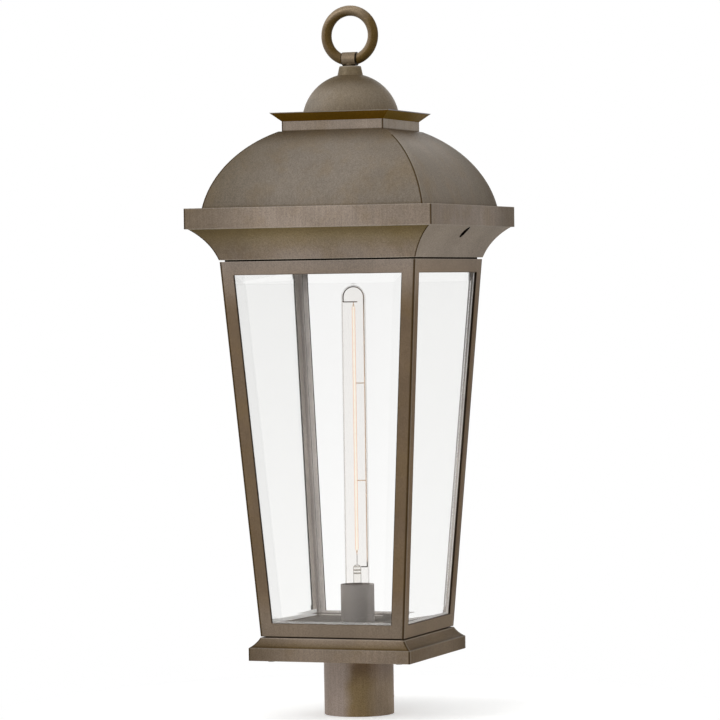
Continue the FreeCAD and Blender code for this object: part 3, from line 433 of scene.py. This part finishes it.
def add_hip_shade(tree, body, hip_shade):
    """Painted shade: darker corners, by the share given, and less so at the near corner."""
    corner = tree.divided(tree.beside(), tree.reach())
    spread = tree.add(tree.size(tree.across), tree.size(tree.along))
    near = tree.divided(tree.minus(tree.across, tree.along), spread)
    full = hip_shade * HIP_SHADE_SHARE
    share = tree.ramp(near, 0.0, 1.0, full, full * (1.0 - NEAR_HIP_SHADE_RELIEF))
    amount = tree.product(tree.ramp(corner, 0.30, 1.0, smooth=False), share)
    return tree.mix(amount, body, HIP_SHADE_TINT, "MULTIPLY")


def add_seams(tree, body, seams, half_width):
    """A dark line along the mitred corners with a rubbed line of wear and painted highlight beside it, for
    each (lowest, highest).
    """
    offset = tree.minus(tree.size(tree.across), tree.size(tree.along))
    line = tree.ramp(tree.size(offset), half_width, half_width + SEAM_FADE, 0.92, 0.0)
    # A rubbed line of wear and painted highlight beside each seam
    edge_light_shade = tree.product(tree.ramp(offset, 0.0020, 0.0026), tree.ramp(offset, 0.0036, 0.0050, 0.30, 0.0))
    for low, high in seams:
        inside = tree.between(tree.height, low, high)
        body = tree.mix(tree.product(line, inside), body, SEAM_BROWN)
        body = tree.mix(tree.product(edge_light_shade, inside), body, WORN_EDGE_HIGHLIGHT)
    return body


def add_worn_highlight_lines(tree, body, worn_highlights):
    """Thin light lines of wear and painted highlight, each (height, half width, strength)."""
    for level, half_width, strength in worn_highlights:
        distance = tree.apart(tree.height, level)
        body = tree.mix(tree.ramp(distance, half_width * 0.4, half_width, strength, 0.0), body, WORN_EDGE_HIGHLIGHT)
    return body


def bronze(name, colour, bands=(), seams=(), worn_highlights=(), streak=UPRIGHT_STREAK, brushed=0.06, patches=0.25,
           hip_shade=0.16, side_lighting=None, roughness=0.55, metallic=0.05, gloss=0.05, seam_half=SEAM_HALF,
           extra=None):
    """Rubbed bronze coat: fine speckle, brushed streaks, cloudy patches, bands that are mostly painted shade,
    painted shade at the corners, seams, and light lines of wear and painted highlight.

    The side tint is painted light and shade on the two faces across the front, and extra is a piece's own
    shading, most of it painted light and shade.
    """
    tree = Tree(name)
    cloud = tree.noise(CLOUD_SCALE, 4.0, 0.6)
    patch = tree.noise(PATCH_SCALE, 4.0, 0.6)
    speckle = tree.noise(SPECKLE_SCALE, 2.0, 0.6)
    streaks = tree.noise(STREAK_SCALE, 2.0, 0.6, streak)
    body = tree.mix(tree.ramp(patch, 0.42, 0.70, 0.0, patches), colour, GOLD_BROWN)
    body = add_bands(tree, body, bands)
    if hip_shade:
        body = add_hip_shade(tree, body, hip_shade)
    # Painted light and shade on the two faces across the front
    if side_lighting:
        body = tree.mix(tree.on_side(), body, side_lighting, "MULTIPLY")
    if seams:
        body = add_seams(tree, body, seams, seam_half)
    body = add_worn_highlight_lines(tree, body, worn_highlights)
    if extra:
        body = extra(tree, body)
    cloud_tone = tree.ramp(cloud, 0.35, 0.68, 1.06, 0.90)
    speckle_tone = tree.ramp(speckle, 0.36, 0.66, 1.09, 0.84)
    streak_tone = tree.ramp(streaks, 0.32, 0.72, 1.0 - brushed, 1.0 + brushed)
    body = tree.scaled(body, tree.product(cloud_tone, speckle_tone, streak_tone))
    rough = tree.ramp(speckle, 0.3, 0.7, roughness - 0.05, roughness + 0.08)
    relief = tree.add(tree.product(speckle, 0.6), tree.product(streaks, 0.4))
    tree.surface(body, rough, metallic, tree.bump(relief, RELIEF_DEPTH, 0.5), Specular_IOR_Level=gloss)
    return tree.material


# Shading of single pieces, most of it painted light and shade

def lean_lighting(tree, tones):
    """Painted light and shade: a tone that changes along the front, and along the side from its near corner
    to its far one.
    """
    front, side = tones
    reach = tree.reach()
    lean = tree.divided(tree.product(tree.across, tree.along, -1.0), tree.product(reach, reach))
    front_tone = tree.ramp(lean, -1.0, 1.0, front[0], front[1], smooth=False)
    side_tone = tree.ramp(lean, 1.0, -1.0, side[0], side[1], smooth=False)
    return tree.ramp(tree.on_side(), 0.0, 1.0, front_tone, side_tone, smooth=False)


def roof_shade(tree, body):
    """Painted light: the domed roof is lighter towards its near hip, and along its foot."""
    low = node_bottom("roof_dome").z
    foot = tree.ramp(tree.height, low, low + 0.05, 1.06, 0.98)
    return tree.scaled(body, tree.product(lean_lighting(tree, ROOF_LIGHTING_TONES), foot))


def base_shade(tree, body):
    """Painted light: the base is lighter towards its near corner."""
    return tree.scaled(body, lean_lighting(tree, BASE_LIGHTING_TONES))


def skirt_shade(tree, body):
    """Painted shade: the lock holes' bores are black, and the fascia darker at its front-left and back-right
    corners. Painted light: the coves of the two faces across the front are less golden than the others, and
    every cove is lighter towards its near corner.
    """
    bore_height = (node_bottom("right_lock_screw").z + node_top("right_lock_screw").z) / 2
    high = node_top("roof_skirt")
    side = tree.on_side()
    cove = tree.below(tree.height, high.z - FASCIA_HEIGHT)
    body = tree.mix(tree.product(side, cove, COVE_SIDE_LIGHT_SHARE), body, COVE_SIDE_LIGHT)
    cove_lighting = lean_lighting(tree, COVE_LIGHTING_TONES)
    body = tree.scaled(body, tree.ramp(cove, 0.0, 1.0, 1.0, cove_lighting, smooth=False))
    corner = tree.divided(tree.product(tree.across, tree.along), high.x ** 2)
    dark_corner = tree.product(tree.ramp(corner, 0.2, 0.9), tree.minus(1.0, cove), FASCIA_CORNER_SHADE)
    body = tree.scaled(body, tree.minus(1.0, dark_corner))
    distance = tree.length(tree.along, tree.minus(tree.height, bore_height))
    bore_shade = tree.product(side, tree.below(distance, LOCK_BORE))
    return tree.mix(bore_shade, body, HOLLOW_SHADE_BLACK)


def crown_shade(tree, body):
    """The flare is dark gold outside, a painted shade that is lighter on the two faces across the front in
    painted light, and taupe inside the tray.
    """
    high = node_top("crown_tray")
    flare = tree.above(tree.height, high.z - FLARE_HEIGHT)
    face = tree.minus(high.x, tree.product(tree.minus(high.z, tree.height), FLARE_SLOPE))
    inside = tree.product(tree.above(tree.minus(face, tree.reach()), 0.001), flare)
    # Painted light on the flare's two faces across the front
    body = tree.mix(tree.product(tree.on_side(), flare), body, FLARE_SIDE_LIGHTING, "MULTIPLY")
    return tree.mix(inside, body, TRAY_TAUPE)


def cap_shade(tree, body):
    """Painted shade: one side of the small dome is darker and more golden."""
    high = node_top("cap_dome").z
    near = tree.math("COSINE", tree.minus(tree.angle(), math.radians(CAP_SHADE_SIDE)))
    fade = tree.ramp(tree.height, high - 0.022, high - 0.006, 1.0, 0.0)
    return tree.mix(tree.product(tree.ramp(near, 0.25, 0.95, 0.0, 0.60), fade), body, CAP_SIDE_SHADE)


def eye_shade(tree, body):
    """Painted shade: both ends of the eye's sleeve are dark against the ring."""
    half = node_top("eye_bolt").x
    ends = tree.ramp(tree.size(tree.across), half - 0.0009, half - 0.0003, 0.0, 0.85)
    return tree.mix(ends, body, SHADE_BLACK)


def ring_shade(tree, body):
    """Painted light and shade, as if lit from the upper left: the ring is dark on the inside of one half and
    on the outside of the other, lighter elsewhere, and dark in a painted shadow beside its eye.
    """
    high = node_top("finial_ring")
    thick = high.y
    radius = high.x - thick
    eye_half = node_top("eye_bolt").x
    rise = tree.minus(tree.height, high.z - thick - radius)
    distance = tree.length(tree.across, rise)
    out = tree.divided(tree.minus(distance, radius), thick)
    side = tree.divided(tree.minus(tree.across, tree.product(rise, 0.6)), distance)
    top = tree.ramp(tree.divided(rise, radius), 0.3, 1.0, RING_LIGHT_SHIFT, RING_LIGHT_SHIFT - 0.6)
    facing = tree.add(tree.product(out, side), top)
    body = tree.mix(tree.ramp(facing, -0.1, 0.6, 0.0, 0.9), body, RING_SHADE_DARK)
    body = tree.mix(tree.ramp(facing, 0.0, -0.5, 0.0, 0.9), body, RING_LIT_LIGHT)
    # A painted shadow on the ring beside its eye
    edge_light_shade = tree.ramp(tree.size(tree.across), eye_half, eye_half + 0.0014, 0.9, 0.0)
    return tree.mix(tree.product(edge_light_shade, tree.below(rise, 0.0)), body, SHADE_BLACK)


def cage_shade(tree, body):
    """Posts and rails: painted light on the side faces towards the front, painted shade in dark lines round
    the openings and on dark reveals, and painted light on the faces inside.
    """
    low = node_top("front_bottom_rail").z
    high = node_top("front_top_rail").z
    low_half = -node_bottom("front_bottom_rail").y
    high_half = -node_bottom("front_top_rail").y
    opening_high = node_bottom("front_top_rail").z
    slope = (high_half - low_half) / (high - low)
    side = tree.on_side()
    # Painted light: the side faces are lighter towards the front
    body = tree.scaled(body, tree.add(1.0, tree.product(side, tree.ramp(tree.along, -0.09, 0.09, 0.16, 0.0))))

    face = tree.add(low_half, tree.product(tree.minus(tree.height, low), slope))
    depth = tree.minus(face, tree.reach())
    past_stile = tree.minus(tree.beside(), tree.minus(face, STILE_WIDTH))
    open_height = tree.between(tree.height, low, opening_high)
    near = RIM_WIDTH * 0.6
    far = RIM_WIDTH * 1.4
    stile_rim = tree.product(tree.ramp(past_stile, near, far, 0.75, 0.0), open_height)
    under = tree.ramp(tree.apart(low, tree.height), near, far, 1.0, 0.0)
    over = tree.ramp(tree.apart(tree.height, opening_high), near, far, 1.0, 0.0)
    rims = tree.add(tree.product(under, tree.ramp(side, 0.0, 1.0, 0.4, 0.8)), tree.product(over, 0.5))
    rail_rim = tree.product(rims, tree.minus(1.0, open_height), tree.below(past_stile, 0.0))
    body = tree.mix(tree.largest(stile_rim, rail_rim), body, SHADE_BLACK)

    inner_colour = tree.mix(side, INNER_LIT_GREY, INNER_LIT_LIGHT)
    body = tree.mix(tree.ramp(depth, *INNER_START), body, inner_colour)
    reveal = tree.product(tree.ramp(depth, *REVEAL_START), tree.ramp(depth, *REVEAL_END, 1.0, 0.0))
    return tree.mix(reveal, body, SHADE_BLACK)


def fitter_shade(tree, body):
    """Golden patina and a painted dark reflection run down the cup between lighter stretches of painted
    reflection, with painted shade near its top under the base.
    """
    warp = tree.noise(22.0, 3.0, 0.6)
    angle = tree.add(tree.angle(), tree.ramp(warp, 0.2, 0.8, -0.12, 0.12))
    reflection = tree.product(*[
        tree.ramp(angle, math.radians(start), math.radians(stop), before, after)
        for start, stop, before, after in CUP_REFLECTION_STRIPES
    ])
    gold = tree.mix(tree.ramp(tree.height, *CUP_SHADE_FADE), CUP_GOLD_REFLECTION, CUP_DARK_SHADE)
    return tree.mix(reflection, body, gold)


def cover_shade(tree, body):
    """Painted light and shade: the socket cover is darker in front and lighter to one side."""
    angle = tree.angle()
    near = tree.math("COSINE", tree.minus(angle, math.radians(COVER_SHADE_SIDE)))
    body = tree.mix(tree.ramp(near, 0.55, 1.0, 0.0, 0.6), body, COVER_SHADE_DARK)
    start, end = COVER_LIT_SIDE
    return tree.mix(tree.ramp(angle, math.radians(start), math.radians(end)), body, COVER_LIT_LIGHT)


# Glass, lamp and plain parts

def bevel_tone(tree):
    """How much painted light and shade a pane's bevel gets, from the distance to the pane's upright edges and
    top.
    """
    high = node_top("front_glass")
    half = tree.add(high.x, tree.product(tree.minus(tree.height, high.z), PANE_SLOPE))
    from_side = tree.minus(tree.minus(half, tree.beside()), BEVEL_WIDTH)
    from_top = tree.minus(high.z - BEVEL_WIDTH, tree.height)
    share = tree.ramp(tree.across, -0.02, 0.02, 1.0, BEVEL_FAINT)
    side = tree.product(tree.ramp(from_side, -BEVEL_BLUR, BEVEL_BLUR, 1.0, 0.0), share)
    top_share = tree.ramp(from_top, -BEVEL_BLUR, BEVEL_BLUR, 1.0, 0.0)
    top = tree.product(top_share, tree.below(from_top, from_side))
    nearest = tree.size(tree.math("MINIMUM", from_side, from_top))
    line = tree.product(tree.ramp(nearest, BEVEL_BLUR, BEVEL_LINE_END, 1.0, 0.0), share)
    tone = tree.minus(1.0, tree.product(side, BEVEL_SIDE))
    tone = tree.add(tone, tree.product(top, BEVEL_TOP))
    return tree.minus(tone, tree.product(line, BEVEL_LINE))


def clear_glass(name, tint, edge_tint, edge_start, bend, rings=(), darker_upward=None, clear_above=None,
                bevelled=False, edge_glint=0.0):
    """Clear glass that darkens where it is seen edge-on, a painted shade, with dark rings at some heights.

    The upward darkening is (lowest, highest, share): the glass darkens towards the top by that share between
    the two heights.
    A bevelled pane has painted shade along its upright edges and a painted highlight along its top, with a
    fine darker line between.
    The edge share is how far a line along the foot of a pane turns from clear glass to a painted white
    highlight.
    """
    tree = Tree(name)
    weight = tree.nodes.new("ShaderNodeLayerWeight")
    tree.feed(weight.inputs["Blend"], 0.5)
    haze = tree.noise(60.0, 2.0, 0.5)
    edge = tree.ramp(weight.outputs["Facing"], edge_start, 0.95)
    if clear_above:
        edge = tree.product(edge, tree.ramp(tree.height, clear_above, clear_above + 0.004, 1.0, 0.1))
    colour = tree.mix(edge, tint, edge_tint)
    if darker_upward:
        low, high, share = darker_upward
        colour = tree.scaled(colour, tree.ramp(tree.height, low, high, 1.0, 1.0 - share, smooth=False))
    colour = tree.scaled(colour, tree.ramp(haze, 0.3, 0.7, 0.995, 1.0))
    if bevelled:
        colour = tree.scaled(colour, bevel_tone(tree))
    for level, half_width in rings:
        distance = tree.apart(tree.height, level)
        colour = tree.mix(tree.ramp(distance, half_width * 0.5, half_width, 0.8, 0.0), colour, edge_tint)
    clear = 1.0
    # A painted highlight: a white line along the foot of the pane
    if edge_glint:
        line = tree.between(tree.height, GLINT_HEIGHTS[0], GLINT_HEIGHTS[1])
        clear = tree.minus(1.0, tree.product(line, edge_glint))
        colour = tree.mix(line, colour, GLINT_WHITE)
    shader = tree.surface(colour, 0.0, Transmission_Weight=clear, IOR=bend)
    tree.clear_to_light(shader)
    return tree.material


def lamp_side(tree):
    """How far a point of the lamp is to the right, seen from the side that its flat parts face."""
    turn = math.radians(LAMP_TURN)
    return tree.add(tree.product(tree.across, math.cos(turn)), tree.product(tree.along, math.sin(turn)))


def filament_glow(name):
    """Cream on two faces, peach on the two between, orange at both tips, and a dark lead below."""
    low = node_bottom("bulb_filament").z + LOW_LEAD
    high = node_top("bulb_filament").z - HIGH_LEAD
    tree = Tree(name)
    chips = tree.noise(500.0, 1.0, 0.5, (0.2, 0.2, 1.0))
    edge = tree.ramp(tree.size(lamp_side(tree)), 0.0009, 0.0017)
    colour = tree.mix(edge, FILAMENT_CREAM, FILAMENT_PEACH)
    colour = tree.mix(tree.ramp(chips, 0.45, 0.65, 0.0, 0.2), colour, FILAMENT_PEACH)
    low_tip = tree.ramp(tree.height, low, low + FILAMENT_TIP, 1.0, 0.0)
    high_tip = tree.ramp(tree.height, high - FILAMENT_TIP, high, 0.0, 1.0)
    colour = tree.mix(tree.largest(low_tip, high_tip), colour, FILAMENT_ORANGE)
    colour = tree.mix(tree.ramp(tree.height, low - 0.001, low - 0.004), colour, FILAMENT_LEAD)
    tree.surface(FILAMENT_BODY, 0.5, Emission_Color=colour, Emission_Strength=1.0, Specular_IOR_Level=0.1)
    return tree.material


def lamp_wire(name):
    """Tan wire, dark at its foot and along one half of its arch."""
    low = node_bottom("bulb_support_wire").z
    high = node_top("bulb_support_wire").z
    tree = Tree(name)
    grain = tree.noise(300.0, 3.0, 0.6)
    dark_arch = tree.product(tree.ramp(tree.height, high - 0.034, high - 0.014),
                             tree.ramp(lamp_side(tree), 0.001, 0.006, 1.0, 0.45))
    dark_foot = tree.ramp(tree.height, low + 0.010, low + 0.004, 0.0, 1.0)
    colour = tree.mix(tree.largest(dark_arch, dark_foot), WIRE_TAN, WIRE_DARK)
    colour = tree.scaled(colour, tree.ramp(grain, 0.3, 0.7, 0.85, 1.1))
    tree.surface(colour, 0.6, 0.0, tree.bump(grain, 0.00002, 0.4), Specular_IOR_Level=0.1)
    return tree.material


def plain(name, colour, roughness, metallic=0.0, grain=300.0):
    """A small part's finish, with fine grain in colour, roughness and relief."""
    tree = Tree(name)
    grains = tree.noise(grain, 3.0, 0.6)
    darker = [part * 0.78 for part in colour]
    body = tree.mix(tree.ramp(grains, 0.35, 0.7), colour, darker)
    rough = tree.ramp(grains, 0.3, 0.7, roughness * 0.85, min(1.0, roughness * 1.15))
    tree.surface(body, rough, metallic, tree.bump(grains, 0.00004, 0.5))
    return tree.material


# Finishes of all pieces

def dress_roof():
    skirt_low = node_bottom("roof_skirt").z
    fascia_high = node_top("roof_skirt").z
    fascia_low = fascia_high - FASCIA_HEIGHT
    dome_high = node_top("roof_dome").z
    tray_high = node_top("crown_tray").z
    flare_low = tray_high - FLARE_HEIGHT
    cap_low = node_bottom("cap_dome").z
    cap_high = node_top("cap_dome").z

    # Olive patina with painted shade under the crown and along the dome's foot
    dome_bands = [
        (dome_high, dome_high - 0.020, OLIVE_PATINA_SHADE, 0.60, True),
        (fascia_high, fascia_high + 0.004, OLIVE_PATINA_SHADE, 0.35, False),
    ]
    paint(bronze("RoofDome", TAUPE, dome_bands, seams=[(fascia_high, dome_high - 0.008)], hip_shade=0.28,
                 side_lighting=ROOF_SIDE_LIGHTING, extra=roof_shade), "roof_dome")
    # Golden patina with painted shade in the cove under the fascia, and olive patina with painted shade just
    # below the fascia
    skirt_bands = [
        (fascia_low, skirt_low + 0.002, COVE_GOLD_SHADE, 0.68, True),
        (fascia_low, fascia_low - 0.013, OLIVE_PATINA_SHADE, 0.28, True),
    ]
    skirt_worn_highlights = [(skirt_low, 0.001, 0.5), (fascia_high, 0.0012, 0.5), (fascia_low, 0.0008, 0.5)]
    paint(bronze("RoofSkirt", PINK_TAUPE, skirt_bands, seams=[(skirt_low, fascia_high)], worn_highlights=skirt_worn_highlights,
                 brushed=0.07, hip_shade=0.34, extra=skirt_shade), "roof_skirt")
    # Olive patina with painted shade at the crown's foot, and dark gold painted shade on the flare, which
    # faces down
    crown_bands = [
        (dome_high, dome_high + 0.002, OLIVE_PATINA_SHADE, 0.8, False),
        (flare_low, tray_high + 0.1, FLARE_SHADE_BROWN, 1.0, True),
    ]
    paint(bronze("TrayRim", CROWN_TAUPE, crown_bands, seams=[(dome_high, flare_low)],
                 worn_highlights=[(tray_high, 0.0012, 1.0)], hip_shade=0.08, side_lighting=CROWN_SIDE_LIGHTING, extra=crown_shade),
          "crown_tray")
    # Painted shade at the top of the small dome, under the collar
    cap_bands = [
        (cap_low, cap_low + 0.03, GOLD_BROWN, 0.20, False),
        (cap_high - 0.004, cap_high - 0.026, CAP_TOP_SHADE, 0.85, False),
    ]
    paint(bronze("CapDome", CAP_TAUPE, cap_bands, patches=0.2, hip_shade=0, extra=cap_shade), "cap_dome")


def dress_finial():
    collar_high = node_top("finial_collar").z
    paint(bronze("Collar", COLLAR_BROWN, worn_highlights=[(collar_high - 0.0008, 0.0012, 0.35)], streak=FINIAL_STREAK,
                 patches=0.3, hip_shade=0, roughness=0.50, metallic=0.15), "finial_collar")
    # A black painted shadow in the gap between the eye and the collar
    eye_bands = [(collar_high + 0.0012, collar_high + 0.0022, SHADE_BLACK, 0.95, False)]
    paint(bronze("Eye", EYE_BROWN, eye_bands, streak=FINIAL_STREAK, patches=0.4, hip_shade=0, roughness=0.45,
                 metallic=0.2, extra=eye_shade), "eye_bolt")
    paint(bronze("Ring", FINIAL_BROWN, streak=FINIAL_STREAK, patches=0.3, hip_shade=0, roughness=0.45,
                 metallic=0.2, extra=ring_shade), "finial_ring")


def dress_base():
    base_low = node_bottom("base_moulding").z
    band_high = base_low + BASE_BAND_HEIGHT
    cove_high = base_low + BASE_COVE_HEIGHT
    # A black painted shadow in the gap above the cove, then golden patina with painted shade at the cove's
    # foot, and a line of olive patina with painted shade in its crease
    base_bands = [
        (cove_high + 0.0001, cove_high + 0.1, SHADE_BLACK, 1.0, True),
        (band_high, band_high + 0.011, BASE_GOLD_SHADE, 0.82, True),
        (band_high, band_high + 0.0035, OLIVE_PATINA_SHADE, 0.85, True),
    ]
    base_worn_highlights = [(band_high, 0.0009, 0.3), (cove_high - 0.0007, 0.0007, 0.4)]
    paint(bronze("Base", BASE_TAUPE, base_bands, seams=[(base_low, cove_high)], worn_highlights=base_worn_highlights, hip_shade=0.34,
                 side_lighting=BASE_SIDE_LIGHTING, extra=base_shade), "base_moulding")
    paint(bronze("Fitter", CUP_REFLECTION_LIGHT, patches=0.15, hip_shade=0, roughness=0.50, metallic=0.10,
                 extra=fitter_shade), "post_fitter")


def dress_cage():
    skirt_low = node_bottom("roof_skirt").z
    cage_low = node_bottom("front_bottom_rail").z
    cage_high = node_top("front_top_rail").z
    cage_bands = [
        (cage_low + 0.012, cage_low + 0.060, LOW_RAIL_TAUPE, 1.0, False),
        (cage_high - 0.012, cage_high - 0.060, RAIL_TAUPE, 1.0, False),
        (cage_high, cage_high - 0.018, TOP_RAIL_TAUPE, 0.75, False),
        # A black painted shadow along the foot of the bottom rails
        (cage_low + 0.0003, cage_low + 0.0007, SHADE_BLACK, 0.9, False),
    ]
    posts_and_rails = [name for name in nodes if name.endswith(("_post", "_rail"))]
    paint(bronze("Cage", STILE_BROWN, cage_bands, seams=[(cage_low, cage_high)],
                 worn_highlights=[(cage_high, 0.0009, 0.5)], brushed=0.03, hip_shade=0, side_lighting=CAGE_SIDE_LIGHTING,
                 seam_half=CAGE_SEAM_HALF, extra=cage_shade), *posts_and_rails)
    paint(bronze("Inside", COVER_GREY, streak=LEVEL_STREAK, patches=0.05, hip_shade=0, roughness=0.6,
                 metallic=0.0, gloss=0.1, extra=cover_shade), "socket_cover", "base_plate")
    # Painted shadow: the top frame is black below the skirt, in the gap under the roof
    frame_bands = [(skirt_low, skirt_low - 0.1, HOLLOW_SHADE_BLACK, 1.0, True)]
    paint(bronze("TopFrame", INNER_LIT_GREY, frame_bands, streak=LEVEL_STREAK, patches=0.1, hip_shade=0, gloss=0.0),
          "top_frame")
    paint(bronze("FloorPlate", FLOOR_PLATE_GREY, streak=LEVEL_STREAK, patches=0.05, hip_shade=0, roughness=0.9,
                 metallic=0.0, gloss=0.0), "cage_floor")


def dress_panes():
    darker_upward = (node_bottom("front_bottom_rail").z, node_top("front_top_rail").z, 0.05)
    paint(clear_glass("PanelGlass", PANE_CLEAR, PANE_EDGE, 0.1, PANE_BEND, darker_upward=darker_upward, bevelled=True,
                      edge_glint=0.2), "front_glass")
    paint(clear_glass("BackGlass", PANE_CLEAR, PANE_EDGE, 0.1, PANE_BEND, darker_upward=darker_upward), "back_glass")
    paint(clear_glass("SideGlass", PANE_CLEAR, PANE_EDGE, 0.1, SIDE_PANE_BEND, darker_upward=darker_upward, bevelled=True,
                      edge_glint=0.9), "right_glass", "left_glass")


def dress_lamp():
    lamp_high = node_top("bulb_envelope").z
    stem_high = node_top("bulb_stem").z
    stem_rings = [(stem_high - 0.0022, 0.0006), (stem_high - 0.0062, 0.0009), (stem_high - 0.0100, 0.0009)]
    paint(clear_glass("LampGlass", LAMP_CLEAR, LAMP_EDGE, 0.55, LAMP_BEND, clear_above=lamp_high - 0.012),
          "bulb_envelope")
    paint(clear_glass("StemGlass", STEM_CLEAR, STEM_EDGE, 0.25, STEM_BEND, stem_rings), "bulb_stem")
    paint(filament_glow("Filament"), "bulb_filament")
    paint(lamp_wire("LampWire"), "bulb_support_wire")
    paint(plain("BlackGlass", GLASS_BLACK, 0.12), "bulb_cap_insulator")


def dress_small_parts():
    screws = [name for name in nodes if name.endswith(("_screw", "_screws"))]
    # Painted shade: the lock bosses are black, as the dark inside of the lock holes
    paint(plain("LockHoleShade", LOCK_HOLE_SHADE, 0.6), "left_lock_boss", "right_lock_boss")
    paint(plain("Brass", BRASS_YELLOW, 0.35, 1.0), "bulb_screw_cap", "lampholder_shell",
          "lampholder_contact", "bulb_contact")
    paint(plain("Porcelain", PORCELAIN_WHITE, 0.22, 0.0, 180.0), "lampholder_insulator")
    paint(plain("BlackLead", LEAD_BLACK, 0.5), "black_lead")
    paint(plain("WhiteLead", LEAD_WHITE, 0.5), "white_lead")
    paint(plain("GreenLead", LEAD_GREEN, 0.5), "green_lead")
    paint(plain("ConnectorPlastic", CONNECTOR_ORANGE, 0.42), "wire_connectors")
    paint(plain("ScrewSteel", SCREW_GREY, 0.38, 1.0), *screws, "nipple", "nipple_nut", "finial_washer",
          "finial_nut", "glass_clips", "lampholder_base")


# Studio

def add_floor():
    """A floor that is white farther out, and takes the object's shadow."""
    mesh = bpy.data.meshes.new("Floor")
    corners = [(x * FLOOR_SIZE, y * FLOOR_SIZE, -FLOOR_GAP) for x, y in FLOOR_CORNERS]
    mesh.from_pydata(corners, [], [tuple(range(len(corners)))])
    floor = bpy.data.objects.new("Floor", mesh)
    scene.collection.objects.link(floor)
    tree = Tree("FloorPaint")
    path = tree.nodes.new("ShaderNodeLightPath")
    seen = tree.largest(path.outputs["Is Camera Ray"], path.outputs["Is Glossy Ray"],
                        path.outputs["Is Transmission Ray"])
    shader = tree.surface(FLOOR_COLOUR, 0.9, Specular_IOR_Level=0.0)
    glow = tree.nodes.new("ShaderNodeEmission")
    tree.feed(glow.inputs["Strength"], tree.product(seen, FLOOR_LIFT))
    lifted = tree.nodes.new("ShaderNodeAddShader")
    tree.links.new(shader.outputs[0], lifted.inputs[0])
    tree.links.new(glow.outputs[0], lifted.inputs[1])
    white = tree.nodes.new("ShaderNodeEmission")
    distance = tree.nodes.new("ShaderNodeVectorMath")
    distance.operation = "LENGTH"
    tree.links.new(tree.coordinates, distance.inputs[0])
    far = tree.product(seen, tree.ramp(distance.outputs["Value"], FLOOR_NEAR, FLOOR_FAR))
    blend = tree.nodes.new("ShaderNodeMixShader")
    tree.feed(blend.inputs[0], far)
    tree.links.new(lifted.outputs[0], blend.inputs[1])
    tree.links.new(white.outputs[0], blend.inputs[2])
    tree.links.new(blend.outputs[0], tree.output.inputs["Surface"])
    mesh.materials.append(tree.material)


def add_world():
    """A white background that lights the object less than it shows."""
    world = bpy.data.worlds.new("Studio")
    world.use_nodes = True
    scene.world = world
    tree = world.node_tree
    tree.nodes.clear()
    output = tree.nodes.new("ShaderNodeOutputWorld")
    background = tree.nodes.new("ShaderNodeBackground")
    path = tree.nodes.new("ShaderNodeLightPath")
    seen = path.outputs["Is Camera Ray"]
    for name in ("Is Glossy Ray", "Is Transmission Ray"):
        either = tree.nodes.new("ShaderNodeMath")
        either.operation = "MAXIMUM"
        tree.links.new(seen, either.inputs[0])
        tree.links.new(path.outputs[name], either.inputs[1])
        seen = either.outputs[0]
    strength = tree.nodes.new("ShaderNodeMapRange")
    tree.links.new(seen, strength.inputs["Value"])
    strength.inputs["To Min"].default_value = DIFFUSE_WORLD
    strength.inputs["To Max"].default_value = 1.0
    tree.links.new(strength.outputs[0], background.inputs["Strength"])
    background.inputs["Color"].default_value = (1, 1, 1, 1)
    tree.links.new(background.outputs[0], output.inputs[0])


def add_light(name, azimuth, elevation, distance, width, power):
    """A soft square light. Azimuth counts from the front towards the right."""
    data = bpy.data.lights.new(name, "AREA")
    data.size = width
    data.energy = power
    light = bpy.data.objects.new(name, data)
    scene.collection.objects.link(light)
    turn = math.radians(azimuth)
    rise = math.radians(elevation)
    level = math.cos(rise)
    offset = Vector((math.sin(turn) * level, -math.cos(turn) * level, math.sin(rise)))
    light.location = LIGHT_TARGET + offset * distance
    light.rotation_euler = offset.to_track_quat("Z", "Y").to_euler()


add_camera()
dress_roof()
dress_finial()
dress_base()
dress_cage()
dress_panes()
dress_lamp()
dress_small_parts()
add_floor()
add_world()
for light in LIGHTS:
    add_light(*light)
scene.view_settings.view_transform = "Standard"
